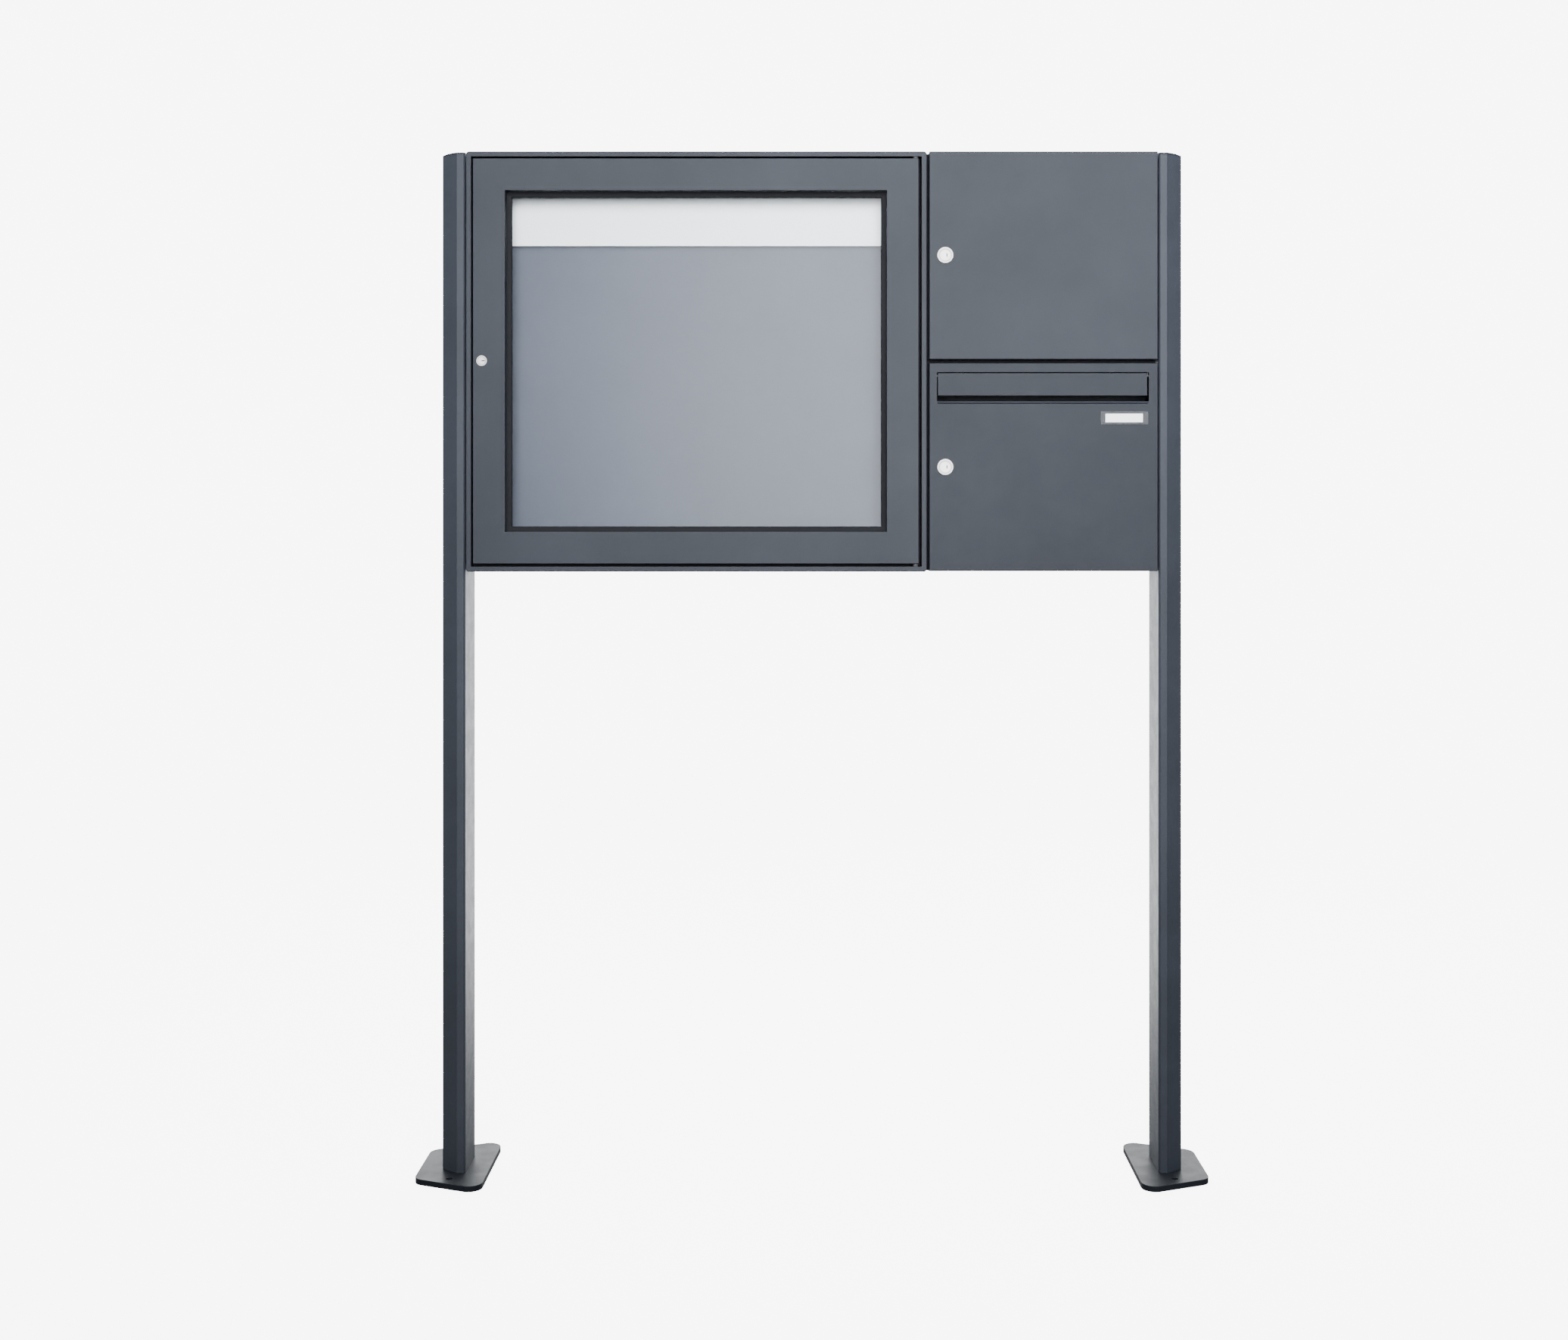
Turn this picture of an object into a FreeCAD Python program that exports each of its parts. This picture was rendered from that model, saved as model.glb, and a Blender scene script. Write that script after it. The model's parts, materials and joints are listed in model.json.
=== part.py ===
import FreeCAD, Part
import Sketcher
import os
import re

from FreeCAD import Placement, Rotation, Vector

# Free-standing mailbox unit: a glazed display case, a plain locker box and a
# letterbox hang between two posts that stand on floor plates.
#
# Frame: +X to the right of a person facing the doors, +Y to the back, +Z up.
# The origin is on the floor, at the middle of the rectangle round the floor plates.

DIMENSIONS = {
    # posts, caps and floor plates
    "post_span": 1185, "post_width": 39.5, "post_depth": 84, "post_wall": 3, "post_top": 1634.5,
    "post_flat": 13.5, "post_facet_drop": 18, "post_round": 4.5, "post_web": 19,
    "post_web_wall": 3, "chamber_inset": 5.5,
    "port_offset": 15, "port_outer": 7, "port_bore": 4.02, "port_screw": 4, "port_screw_end": 38,
    "cap_thickness": 3, "cap_fall": 2, "cap_fall_width": 10, "cap_plug_depth": 8,
    "plate_thickness": 9, "plate_width": 112, "plate_centre": 574, "plate_inner_depth": 214,
    "plate_outer_depth": 129, "plate_round": 20, "anchor_radius": 5, "anchor_spacing": 130,
    "screw_head_sink": 0.4, "screw_head_radius": 8, "screw_hole": 4.2,
    # overall planes of the case and the boxes
    "front_level": -53, "back_level": 47, "case_top": 1637, "case_height": 668,
    "case_width": 732.25, "case_gap": 4, "post_gap": 3.25, "box_height": 330.5, "box_gap": 6,
    # display case
    "case_round": 5, "rim": 8, "rim_edge": 1.2, "case_wall": 3, "case_back_sheet": 2,
    "door_pocket": 29, "stop_lip": 8, "stop_lip_sheet": 2, "rear_flange": 15,
    "rear_flange_sheet": 2, "rivet_radius": 2, "rivet_head": 3.5, "rivet_head_height": 1.2,
    "rivet_tail": 2.6, "rivet_tail_height": 2, "rivet_inset": 9,
    "seal_inset": 0.5, "seal_width": 6, "seal_height": 8,
    "board_front": 10, "board_sheet": 1.2, "board_margin": 6, "standoff_radius": 6,
    "standoff_inset": 40, "header_bottom": 1495, "header_top": 1600, "header_depth": 10,
    "header_sheet": 1.5, "header_overlap": 32, "header_bracket_width": 24,
    "header_bracket_bottom": 1520, "header_bracket_top": 1570, "header_bracket_inset": 90,
    # display door
    "door_gap_free": 3, "door_gap_hinge": 4.5, "door_frame_width": 51, "door_frame_depth": 20,
    "door_sheet": 2, "door_edge": 1.2, "window_edge": 0.8, "glass_land": 19, "land_lip": 24, "land_sheet": 2,
    "gasket_nose": 8.5, "gasket_nose_height": 3, "gasket_sole": 1, "gasket_chamfer": 2,
    "glass_overlap": 10, "glass_thickness": 4, "clip_length": 22, "clip_inner": 4,
    "clip_step": 10.5, "clip_outer": 20, "clip_sheet": 2, "clip_screw_line": 15,
    "clip_screw": 1.5, "clip_screw_head": 3, "clip_screw_head_height": 1.8, "clip_inset": 110,
    "display_axis_inset_x": 5, "display_axis_inset_y": 6, "display_pin": 2.5,
    "display_pin_in_rim": 5, "display_pin_in_door": 5, "display_bush": 3.95,
    "display_bush_hole": 4, "display_bush_length": 4, "display_bush_collar": 4.5,
    "running_gap": 0.05, "seat_gap": 0.02, "thrust_gap": 0.1,
    # boxes and their doors
    "box_sheet": 1.5, "box_front": -38, "box_flange": 12, "box_door_depth": 13,
    "box_door_edge": 1.4, "hem_width": 10, "tab_offset": 2, "tab_thickness": 2.5,
    "tab_radius": 3.2, "tab_left": 6, "tab_right": 1, "notch_height": 6,
    "box_axis_inset": 5, "box_pin": 2, "box_pin_head": 3, "box_pin_head_height": 1,
    "box_pin_end": 0.3, "box_bush": 2.98, "box_bush_hole": 3, "box_bush_flange": 3.3,
    "buffer_radius": 4, "buffer_inset": 60,
    # letter opening, flap and name plate
    "slot_inset_left": 12, "slot_inset_right": 14.5, "slot_bottom": 1240, "slot_top": 1286,
    "flap_gap_left": 1.7, "flap_gap_right": 2.7, "flap_gap_top": 1.7, "flap_bottom": 1249,
    "flap_sheet": 1.2, "flap_recess": 0.3, "flap_axis_depth": 3.6, "flap_axis_drop": 4,
    "flap_return": 6.8, "knuckle_radius": 2.8, "knuckle_bore": 1.55, "knuckle_end": 25,
    "flap_rod": 1.5, "rod_overhang": 5, "lug_thickness": 3, "lug_gap": 0.5, "lug_depth": 6,
    "lug_below": 4.3, "lug_above": 4.5, "bead_radius": 2.1, "bead_inset": 3,
    "spring_wire": 0.35, "spring_coil": 1.95, "spring_pitch": 1.1, "spring_length": 7.7,
    "spring_leg": 12, "spring_start": 6.5,
    "plate_name_left": 458, "plate_name_right": 534, "plate_name_bottom": 1202.7,
    "plate_name_top": 1223.8, "plate_name_depth": 2.5, "card_border_side": 8.4,
    "card_border_level": 3.8, "card_sheet": 0.6, "card_play": 0.4, "plate_name_edge": 0.5,
    # locks
    "cam_sheet": 2, "tang_half": 2.5, "cam_screw_radius": 1.5, "cam_screw_head": 3.6,
    "cam_screw_head_height": 1.5, "cam_screw_depth": 6, "lock_nut_height": 4,
    "box_lock_inset": 25.3, "rosette": 13, "rosette_height": 2.8, "rosette_edge": 1.2,
    "barrel": 9, "plug_radius": 6.5, "plug_face": 8.4, "plug_face_height": 1.6,
    "plug_recess": 0.5, "box_barrel_end": -36, "box_cam_length": 22, "box_cam_width": 16,
    "keyway_offset": 2.5, "keyway_half_width": 0.7, "keyway_half_length": 2.6,
    "keyway_depth": 7,
    "case_lock_x": -524.5, "case_lock_rise": 1, "small_rosette": 8.4, "small_rosette_height": 2,
    "small_rosette_edge": 0.9, "small_barrel": 7.4, "small_plug": 5.5, "case_barrel_end": -21.4,
    "case_cam_length": 15.5, "case_cam_width": 10,
    # screws that join the case, the boxes and the posts
    "bolt_radius": 3, "bolt_hole": 3.1, "bolt_head": 5, "bolt_head_height": 3.3,
    "bolt_length": 16, "bolt_nut": 5.77, "bolt_nut_height": 5, "bolt_spacer": 8,
    "bolt_socket": 2.3, "bolt_socket_depth": 1.8, "rivet_nut": 4.5, "rivet_nut_length": 12,
    "rivet_nut_bulge": 6.2, "rivet_nut_bulge_length": 3, "case_bolt_inset": 50,
    "box_bolt_inset": 60, "joint_bolt_y": 25, "stack_bolt_front": 8, "stack_bolt_back": 32,
    "strip_setback": 2, "strip_width": 8, "strip_end_inset": 1,
}

DOC = FreeCAD.newDocument("MailboxUnit")
SHEET = DOC.addObject("Spreadsheet::Sheet", "Dims")
SUB_PARTS = []

# Places that several pieces share, written with the names in the sheet.
POST_INNER = "(post_span/2 - post_width)"
CASE_LEFT = f"(post_gap - {POST_INNER})"
CASE_RIGHT = f"({CASE_LEFT} + case_width)"
CASE_BOTTOM = "(case_top - case_height)"
CASE_X = (CASE_LEFT, CASE_RIGHT)
CASE_Z = (CASE_BOTTOM, "case_top")
CASE_MIDDLE = "(case_top - case_height/2)"
CASE_REAR = "(back_level - case_back_sheet)"
DISPLAY_LOCK = ("case_lock_x", f"({CASE_MIDDLE} + case_lock_rise)")
LIP_FRONT = "(front_level + door_pocket)"
LIP_BACK = f"({LIP_FRONT} + stop_lip_sheet)"
BOARD_BACK = "(board_front + board_sheet)"

DOOR_X = (f"({CASE_LEFT} + rim + door_gap_free)", f"({CASE_RIGHT} - rim - door_gap_hinge)")
DOOR_Z = (f"({CASE_BOTTOM} + rim + door_gap_hinge)", "(case_top - rim - door_gap_free)")
DOOR_BACK = "(front_level + door_frame_depth)"
WINDOW_X = (f"({DOOR_X[0]} + door_frame_width)", f"({DOOR_X[1]} - door_frame_width)")
WINDOW_Z = (f"({DOOR_Z[0]} + door_frame_width)", f"({DOOR_Z[1]} - door_frame_width)")
LAND = "(front_level + glass_land)"
GLASS_FRONT = f"({LAND} + gasket_sole)"
GLASS_BACK = f"({GLASS_FRONT} + glass_thickness)"
DISPLAY_AXIS = (f"({DOOR_X[1]} - display_axis_inset_x)", "(front_level + display_axis_inset_y)")

BOX_X = (f"({CASE_RIGHT} + case_gap)", f"({POST_INNER} - post_gap)")
UPPER_Z = ("(case_top - box_height)", "case_top")
LOWER_Z = (f"({UPPER_Z[0]} - box_gap - box_height)", f"({UPPER_Z[0]} - box_gap)")
BOX_INNER_X = (f"({BOX_X[0]} + box_sheet)", f"({BOX_X[1]} - box_sheet)")
DOOR_SHEET_BACK = "(front_level + box_sheet)"
BOX_DOOR_BACK = "(front_level + box_door_depth)"
BOX_AXIS = (f"({BOX_X[1]} - box_axis_inset)", "(front_level + box_axis_inset)")
BOX_LOCK_X = f"({BOX_X[0]} + box_lock_inset)"

SLOT_X = (f"({BOX_X[0]} + slot_inset_left)", f"({BOX_X[1]} - slot_inset_right)")
FLAP_X = (f"({SLOT_X[0]} + flap_gap_left)", f"({SLOT_X[1]} - flap_gap_right)")
FLAP_TOP = "(slot_top - flap_gap_top)"
FLAP_FRONT = "(front_level + flap_recess)"
FLAP_AXIS = (f"({FLAP_FRONT} + flap_axis_depth)", f"({FLAP_TOP} - flap_axis_drop)")

BEYOND = "1"   # how far a cutting tool runs past the surface it opens

ALONG = {
    "x": Rotation(Vector(0, 1, 0), 90),
    "y": Rotation(Vector(1, 0, 0), -90),
    "z": Rotation(),
}


# ---------------------------------------------------------------- expressions

def fill_sheet():
    for row, (alias, value) in enumerate(DIMENSIONS.items(), start=1):
        SHEET.set(f"A{row}", alias)
        SHEET.set(f"B{row}", str(value))
        SHEET.setAlias(f"B{row}", alias)
    DOC.recompute()


def in_sheet(text):
    """The expression with every dimension's name pointed at the sheet."""
    return re.sub(r"[A-Za-z_]\w*", lambda name: "Dims." + name.group(0), str(text))


def number(text):
    return float(SHEET.evalExpression(in_sheet(text)))


def bind(obj, **properties):
    for name, text in properties.items():
        obj.setExpression(name.replace("__", "."), in_sheet(text))
    return obj


# ---------------------------------------------------------------- primitives

def grow(span, amount):
    """The span (low, high) widened by amount at both ends."""
    return (f"({span[0]} - {amount})", f"({span[1]} + {amount})")


def shrink(span, amount):
    return (f"({span[0]} + {amount})", f"({span[1]} - {amount})")


def block(x, y, z):
    obj = DOC.addObject("Part::Box", "Block")
    bind(obj, Length=f"{x[1]} - ({x[0]})", Width=f"{y[1]} - ({y[0]})", Height=f"{z[1]} - ({z[0]})")
    return bind(obj, Placement__Base__x=x[0], Placement__Base__y=y[0], Placement__Base__z=z[0])


def put(obj, along, span, centre):
    """Stand a primitive on the low end of span, with its axis through centre."""
    obj.Placement = Placement(Vector(), ALONG[along])
    place = {"x": (span[0],) + tuple(centre),
             "y": (centre[0], span[0], centre[1]),
             "z": tuple(centre) + (span[0],)}[along]
    return bind(obj, Placement__Base__x=place[0], Placement__Base__y=place[1],
                Placement__Base__z=place[2])


def rod(along, centre, radius, span):
    """A cylinder; centre holds its place on the two other axes, in X, Y, Z order."""
    obj = DOC.addObject("Part::Cylinder", "Rod")
    bind(obj, Radius=radius, Height=f"{span[1]} - ({span[0]})")
    return put(obj, along, span, centre)


def cone(along, centre, low_radius, high_radius, span):
    obj = DOC.addObject("Part::Cone", "Cone")
    bind(obj, Radius1=low_radius, Radius2=high_radius, Height=f"{span[1]} - ({span[0]})")
    return put(obj, along, span, centre)


def hexagon(along, centre, corner_radius, span):
    obj = DOC.addObject("Part::Prism", "Hexagon")
    obj.Polygon = 6
    bind(obj, Circumradius=corner_radius, Height=f"{span[1]} - ({span[0]})")
    return put(obj, along, span, centre)


def fuse(*shapes):
    obj = DOC.addObject("Part::MultiFuse", "Fusion")
    obj.Shapes = list(shapes)
    return obj


def cut(base, *tools):
    for tool in tools:
        obj = DOC.addObject("Part::Cut", "Cut")
        obj.Base = base
        obj.Tool = tool
        base = obj
    return base


def group(solids):
    obj = DOC.addObject("Part::Compound", "Group")
    obj.Links = list(solids)
    return obj


def edges_where(shape, test):
    return [index for index, edge in enumerate(shape.Edges, start=1) if test(edge)]


def rounded(base, size, test, kind="Part::Fillet"):
    """Round, or with Part::Chamfer bevel, the edges of base that pass the test."""
    DOC.recompute()
    obj = DOC.addObject(kind, "Edged")
    obj.Base = base
    value = number(size)
    obj.Edges = [(index, value, value) for index in edges_where(base.Shape, test)]
    return obj


def runs_along(axis):
    direction = {"x": Vector(1, 0, 0), "y": Vector(0, 1, 0), "z": Vector(0, 0, 1)}[axis]
    return lambda edge: (len(edge.Vertexes) == 2 and edge.Curve.TypeId == "Part::GeomLine"
                         and abs(abs(edge.tangentAt(edge.FirstParameter).dot(direction)) - 1) < 1e-6)


def on_plane(axis, level):
    """True for an edge that lies wholly in the plane where axis equals level."""
    place = number(level)
    near = 1e-4
    low = {"x": "XMin", "y": "YMin", "z": "ZMin"}[axis]
    high = {"x": "XMax", "y": "YMax", "z": "ZMax"}[axis]
    return lambda edge: (abs(getattr(edge.BoundBox, low) - place) < near
                         and abs(getattr(edge.BoundBox, high) - place) < near)


def sub_part(name, obj):
    obj.Label = name
    SUB_PARTS.append(obj)
    return obj


# ---------------------------------------------------------------- sketched bodies

def new_body(name):
    return DOC.addObject("PartDesign::Body", name)


def attached_sketch(body, plane):
    sketch = body.newObject("Sketcher::SketchObject", "Outline")
    origin_plane = next(f for f in body.Origin.OriginFeatures if f.Role == plane)
    sketch.AttachmentSupport = (origin_plane, [""])
    sketch.MapMode = "FlatFace"
    return sketch


def pin_down(sketch, geometry, corner, point):
    """Dimension a sketch point from the origin, by expressions."""
    for kind, text in zip(("DistanceX", "DistanceY"), point):
        constraint = Sketcher.Constraint(kind, geometry, corner, number(text))
        index = sketch.addConstraint(constraint)
        sketch.setExpression(f"Constraints[{index}]", in_sheet(text))


def polygon(body, plane, points):
    sketch = attached_sketch(body, plane)
    corners = [Vector(number(x), number(y), 0) for x, y in points]
    count = len(corners)
    for index in range(count):
        following = (index + 1) % count
        sketch.addGeometry(Part.LineSegment(corners[index], corners[following]))
    for index in range(count):
        following = (index + 1) % count
        sketch.addConstraint(Sketcher.Constraint("Coincident", index, 2, following, 1))
    for index, point in enumerate(points):
        pin_down(sketch, index, 1, point)
    return sketch


def circles(body, plane, centres, radius):
    sketch = attached_sketch(body, plane)
    for index, (x, y) in enumerate(centres):
        centre = Vector(number(x), number(y), 0)
        sketch.addGeometry(Part.Circle(centre, Vector(0, 0, 1), number(radius)))
        constraint = Sketcher.Constraint("Radius", index, number(radius))
        place = sketch.addConstraint(constraint)
        sketch.setExpression(f"Constraints[{place}]", in_sheet(radius))
        pin_down(sketch, index, 3, (x, y))
    return sketch


def pad(body, sketch, length):
    feature = body.newObject("PartDesign::Pad", "Pad")
    feature.Profile = sketch
    bind(feature, Length=length)
    DOC.recompute()
    return feature


def pocket(body, sketch, length):
    """Cut the sketch's shape away, towards the plane's positive side."""
    before = body.Shape.Volume
    feature = body.newObject("PartDesign::Pocket", "Pocket")
    feature.Profile = sketch
    feature.Reversed = True
    bind(feature, Length=length)
    DOC.recompute()
    if body.Shape.Volume >= before:
        raise ValueError(f"pocket in {body.Label} cuts nothing")
    return feature


def dress(body, kind, size_name, size, test):
    """Add a PartDesign Fillet or Chamfer on the edges of the tip that pass the test."""
    tip = body.Tip
    names = [f"Edge{index}" for index in edges_where(tip.Shape, test)]
    feature = body.newObject(kind, "Dressing")
    feature.Base = (tip, names)
    bind(feature, **{size_name: size})
    DOC.recompute()
    return feature


# ---------------------------------------------------------------- posts and floor plates

def across_post(side, distance):
    """X at a distance outward from the post's inner face; side is -1 left, 1 right."""
    return f"({side} * ({POST_INNER} + {distance}))"


def post_outline(side):
    front_half = [("0", "0"), ("post_flat", "0"), ("post_width", "post_facet_drop")]
    front = [(across_post(side, u), f"(-post_depth/2 + {v})") for u, v in front_half]
    back = [(across_post(side, u), f"(post_depth/2 - {v})") for u, v in reversed(front_half)]
    return front + back


def at_post_inner_corner(side):
    inner = number(across_post(side, "0"))
    along_z = runs_along("z")
    return lambda edge: along_z(edge) and abs(edge.Vertexes[0].X - inner) < 1e-4


def face_chamber(side, face):
    """The chamber behind the front (face -1) or back (face 1) of the profile."""
    corners = [("post_wall", "(post_wall + 1)"), ("(post_flat - 1)", "(post_wall + 1)"),
               ("(post_width - chamber_inset)", "post_web"), ("post_wall", "post_web")]
    return [(across_post(side, u), f"({face} * (post_depth/2 - {v}))") for u, v in corners]


def port_centres(side):
    middle = across_post(side, "post_width/2")
    return [(middle, "-port_offset"), (middle, "port_offset")]


def rectangle_points(x, y):
    return [(x[0], y[0]), (x[1], y[0]), (x[1], y[1]), (x[0], y[1])]


def make_post(name, side, fixing_levels):
    """An extruded profile: three chambers, two webs and a screw port beside each web."""
    height = "post_top - plate_thickness"
    body = new_body(name + "_profile")
    pad(body, polygon(body, "XY_Plane", post_outline(side)), height)
    dress(body, "PartDesign::Fillet", "Radius", "post_round", at_post_inner_corner(side))

    wide = (across_post(side, "post_wall"), across_post(side, "(post_width - post_wall)"))
    between_webs = "(post_depth/2 - post_web - post_web_wall)"
    middle_chamber = rectangle_points(wide, (f"-{between_webs}", between_webs))
    for outline in (face_chamber(side, -1), middle_chamber, face_chamber(side, 1)):
        pocket(body, polygon(body, "XY_Plane", outline), height)
    pad(body, circles(body, "XY_Plane", port_centres(side), "port_outer"), height)
    pocket(body, circles(body, "XY_Plane", port_centres(side), "port_bore"), height)
    bind(body, Placement__Base__z="plate_thickness")

    tools = []
    for level in fixing_levels:
        x = sorted_span(across_post(side, "-1"), across_post(side, "(post_wall + 1)"), side)
        tools.append(rod("x", ("0", level), "rivet_nut + seat_gap", x))
    sub_part(name, cut(body, *tools))


def sorted_span(near, far, side):
    """(low, high) for a stretch that runs outward from near to far on that side."""
    return (near, far) if side > 0 else (far, near)


def make_post_cap(name, side):
    """A lid on the profile, falling a little towards the outside, with a plug inside."""
    body = new_body(name + "_lid")
    pad(body, polygon(body, "XY_Plane", post_outline(side)), "cap_thickness")
    dress(body, "PartDesign::Fillet", "Radius", "post_round", at_post_inner_corner(side))
    bind(body, Placement__Base__z="post_top")
    lid_top = "(post_top + cap_thickness)"

    fall = DOC.addObject("Part::Wedge", "Fall")
    bind(fall, Xmin=0, Ymin=0, Zmin=0, Zmax="post_depth + 2", Z2min=0, Z2max="post_depth + 2",
         Xmax="cap_fall_width", Ymax="cap_fall", X2min="cap_fall_width", X2max="cap_fall_width + 0.01")
    turn = Rotation(Vector(1, 0, 0), 90)
    if side < 0:
        turn = Rotation(Vector(0, 0, 1), 180).multiply(turn)
    fall.Placement = Placement(Vector(), turn)
    start_y = "(post_depth/2 + 1)" if side > 0 else "(-post_depth/2 - 1)"
    bind(fall, Placement__Base__x=across_post(side, "(post_width - cap_fall_width)"),
         Placement__Base__y=start_y, Placement__Base__z=lid_top)
    flipped = mirrored_down(fall, lid_top)

    plug_x = sorted_span(across_post(side, "(post_wall + seat_gap)"),
                         across_post(side, "(post_width - post_wall - seat_gap)"), side)
    clear_of_ports = "(port_offset - port_outer - seat_gap)"
    plug = block(plug_x, (f"-{clear_of_ports}", clear_of_ports),
                 ("(post_top - cap_plug_depth)", "post_top"))
    sub_part(name, fuse(cut(body, flipped), plug))


def mirrored_down(obj, level):
    """The object mirrored in the horizontal plane at level."""
    mirror = DOC.addObject("Part::Mirroring", "Mirror")
    mirror.Source = obj
    mirror.Normal = Vector(0, 0, 1)
    bind(mirror, Base__z=level)
    return mirror


def plate_outline(side):
    """A trapezoid, longer on the side that faces the middle of the unit."""
    inner = f"({side} * (plate_centre - plate_width/2))"
    outer = f"({side} * (plate_centre + plate_width/2))"
    return [(inner, "-plate_inner_depth/2"), (outer, "-plate_outer_depth/2"),
            (outer, "plate_outer_depth/2"), (inner, "plate_inner_depth/2")]


def make_base_plate(name, side):
    body = new_body(name + "_blank")
    pad(body, polygon(body, "XY_Plane", plate_outline(side)), "plate_thickness")
    dress(body, "PartDesign::Fillet", "Radius", "plate_round", runs_along("z"))
    top = on_plane("z", "plate_thickness")
    dress(body, "PartDesign::Chamfer", "Size", "screw_head_sink", top)

    through = grow(("0", "plate_thickness"), BEYOND)
    anchor_x = f"({side} * plate_centre)"
    tools = [rod("z", (anchor_x, f"{end} * anchor_spacing/2"), "anchor_radius", through)
             for end in (-1, 1)]
    head_top = "(screw_head_sink + screw_head_radius - port_screw)"
    for centre in port_centres(side):
        tools.append(rod("z", centre, "screw_hole", through))
        tools.append(cone("z", centre, "screw_head_radius + screw_head_sink + running_gap",
                          "port_screw + running_gap", ("0", head_top)))
    sub_part(name, cut(body, *tools))


def make_base_plate_screws():
    """Countersunk screws driven from below into the posts' screw ports."""
    screws = []
    head_top = "(screw_head_sink + screw_head_radius - port_screw)"
    for side in (-1, 1):
        for centre in port_centres(side):
            head = cone("z", centre, "screw_head_radius", "port_screw", ("screw_head_sink", head_top))
            shank = rod("z", centre, "port_screw", (head_top, "port_screw_end"))
            socket = hexagon("z", centre, "port_screw/1.6", ("screw_head_sink - 1", "3"))
            screws.append(cut(fuse(head, shank), socket))
    sub_part("base_plate_screws", group(screws))


# ---------------------------------------------------------------- screws between the boxes

def bolt(along, centre, seat, forward):
    """A socket screw whose head sits on seat and whose shank runs forward (1 or -1)."""
    def stretch(near, far):
        ends = (f"({seat} + {forward} * ({near}))", f"({seat} + {forward} * ({far}))")
        return ends if forward > 0 else ends[::-1]
    head = rod(along, centre, "bolt_head", stretch("-bolt_head_height", "0"))
    shank = rod(along, centre, "bolt_radius", stretch("0", "bolt_length"))
    socket = hexagon(along, centre, "bolt_socket",
                     stretch("-bolt_head_height - 1", "bolt_socket_depth - bolt_head_height"))
    return cut(fuse(head, shank), socket)


def tube(along, centre, outer, inner, span):
    return cut(rod(along, centre, outer, span), rod(along, centre, inner, grow(span, BEYOND)))


def case_fixing_levels():
    return [f"({CASE_BOTTOM} + case_bolt_inset)", CASE_MIDDLE, "(case_top - case_bolt_inset)"]


def box_fixing_levels():
    return [level for z in (LOWER_Z, UPPER_Z)
            for level in (f"({z[0]} + box_bolt_inset)", f"({z[1]} - box_bolt_inset)")]


def make_post_fixings():
    screws = []
    nuts = []
    spacers = []
    places = [(-1, level, f"({CASE_LEFT} + case_wall)") for level in case_fixing_levels()]
    places += [(1, level, BOX_INNER_X[1]) for level in box_fixing_levels()]
    for side, level, seat in places:
        centre = ("0", level)
        screws.append(bolt("x", centre, seat, side))
        gap = sorted_span(across_post(side, "-post_gap"), across_post(side, "0"), side)
        spacers.append(tube("x", centre, "bolt_spacer", "bolt_hole", gap))
        sleeve = sorted_span(across_post(side, "0"), across_post(side, "rivet_nut_length"), side)
        bulge = sorted_span(across_post(side, "post_wall"),
                            across_post(side, "(post_wall + rivet_nut_bulge_length)"), side)
        outside = fuse(rod("x", centre, "rivet_nut", sleeve), rod("x", centre, "rivet_nut_bulge", bulge))
        nuts.append(cut(outside, rod("x", centre, "bolt_radius + seat_gap", grow(sleeve, BEYOND))))
    sub_part("post_fixing_screws", group(screws))
    sub_part("post_rivet_nuts", group(nuts))
    sub_part("post_spacers", group(spacers))


def stack_bolt_centres():
    return [(x, y) for x in (f"({BOX_X[0]} + box_bolt_inset)", f"({BOX_X[1]} - box_bolt_inset)")
            for y in ("stack_bolt_front", "stack_bolt_back")]


def make_joining_fixings():
    """Screws from the boxes into the case, and between the two boxes."""
    screws = []
    nuts = []
    case_spacers = []
    box_spacers = []
    for level in box_fixing_levels():
        centre = ("joint_bolt_y", level)
        screws.append(bolt("x", centre, BOX_INNER_X[0], -1))
        inside = f"({CASE_RIGHT} - case_wall)"
        nut = hexagon("x", centre, "bolt_nut", (f"({inside} - bolt_nut_height)", inside))
        nuts.append(cut(nut, rod("x", centre, "bolt_radius + seat_gap",
                                 (f"({inside} - 6)", f"({inside} + 1)"))))
        case_spacers.append(tube("x", centre, "bolt_spacer", "bolt_hole", (CASE_RIGHT, BOX_X[0])))
    for centre in stack_bolt_centres():
        seat = f"({UPPER_Z[0]} + box_sheet)"
        screws.append(bolt("z", centre, seat, -1))
        under = f"({LOWER_Z[1]} - box_sheet)"
        nut = hexagon("z", centre, "bolt_nut", (f"({under} - bolt_nut_height)", under))
        nuts.append(cut(nut, rod("z", centre, "bolt_radius + seat_gap",
                                 (f"({under} - 6)", f"({under} + 1)"))))
        box_spacers.append(tube("z", centre, "bolt_spacer", "bolt_hole", (LOWER_Z[1], UPPER_Z[0])))
    sub_part("joining_screws", group(screws))
    sub_part("joining_nuts", group(nuts))
    sub_part("case_joint_spacers", group(case_spacers))
    sub_part("box_joint_spacers", group(box_spacers))


def make_joint_strip():
    """A rubber strip that closes the upright gap beside the case and, branching off it, the gap
    between the boxes."""
    depth = ("(box_front + strip_setback)", "(box_front + strip_setback + strip_width)")
    upright = (f"({LOWER_Z[0]} + strip_end_inset)", f"({UPPER_Z[1]} - strip_end_inset)")
    stem = block((CASE_RIGHT, BOX_X[0]), depth, upright)
    branch = block(BOX_X, depth, (LOWER_Z[1], UPPER_Z[0]))
    sub_part("joint_strip", fuse(stem, branch))


# ---------------------------------------------------------------- display case

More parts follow.
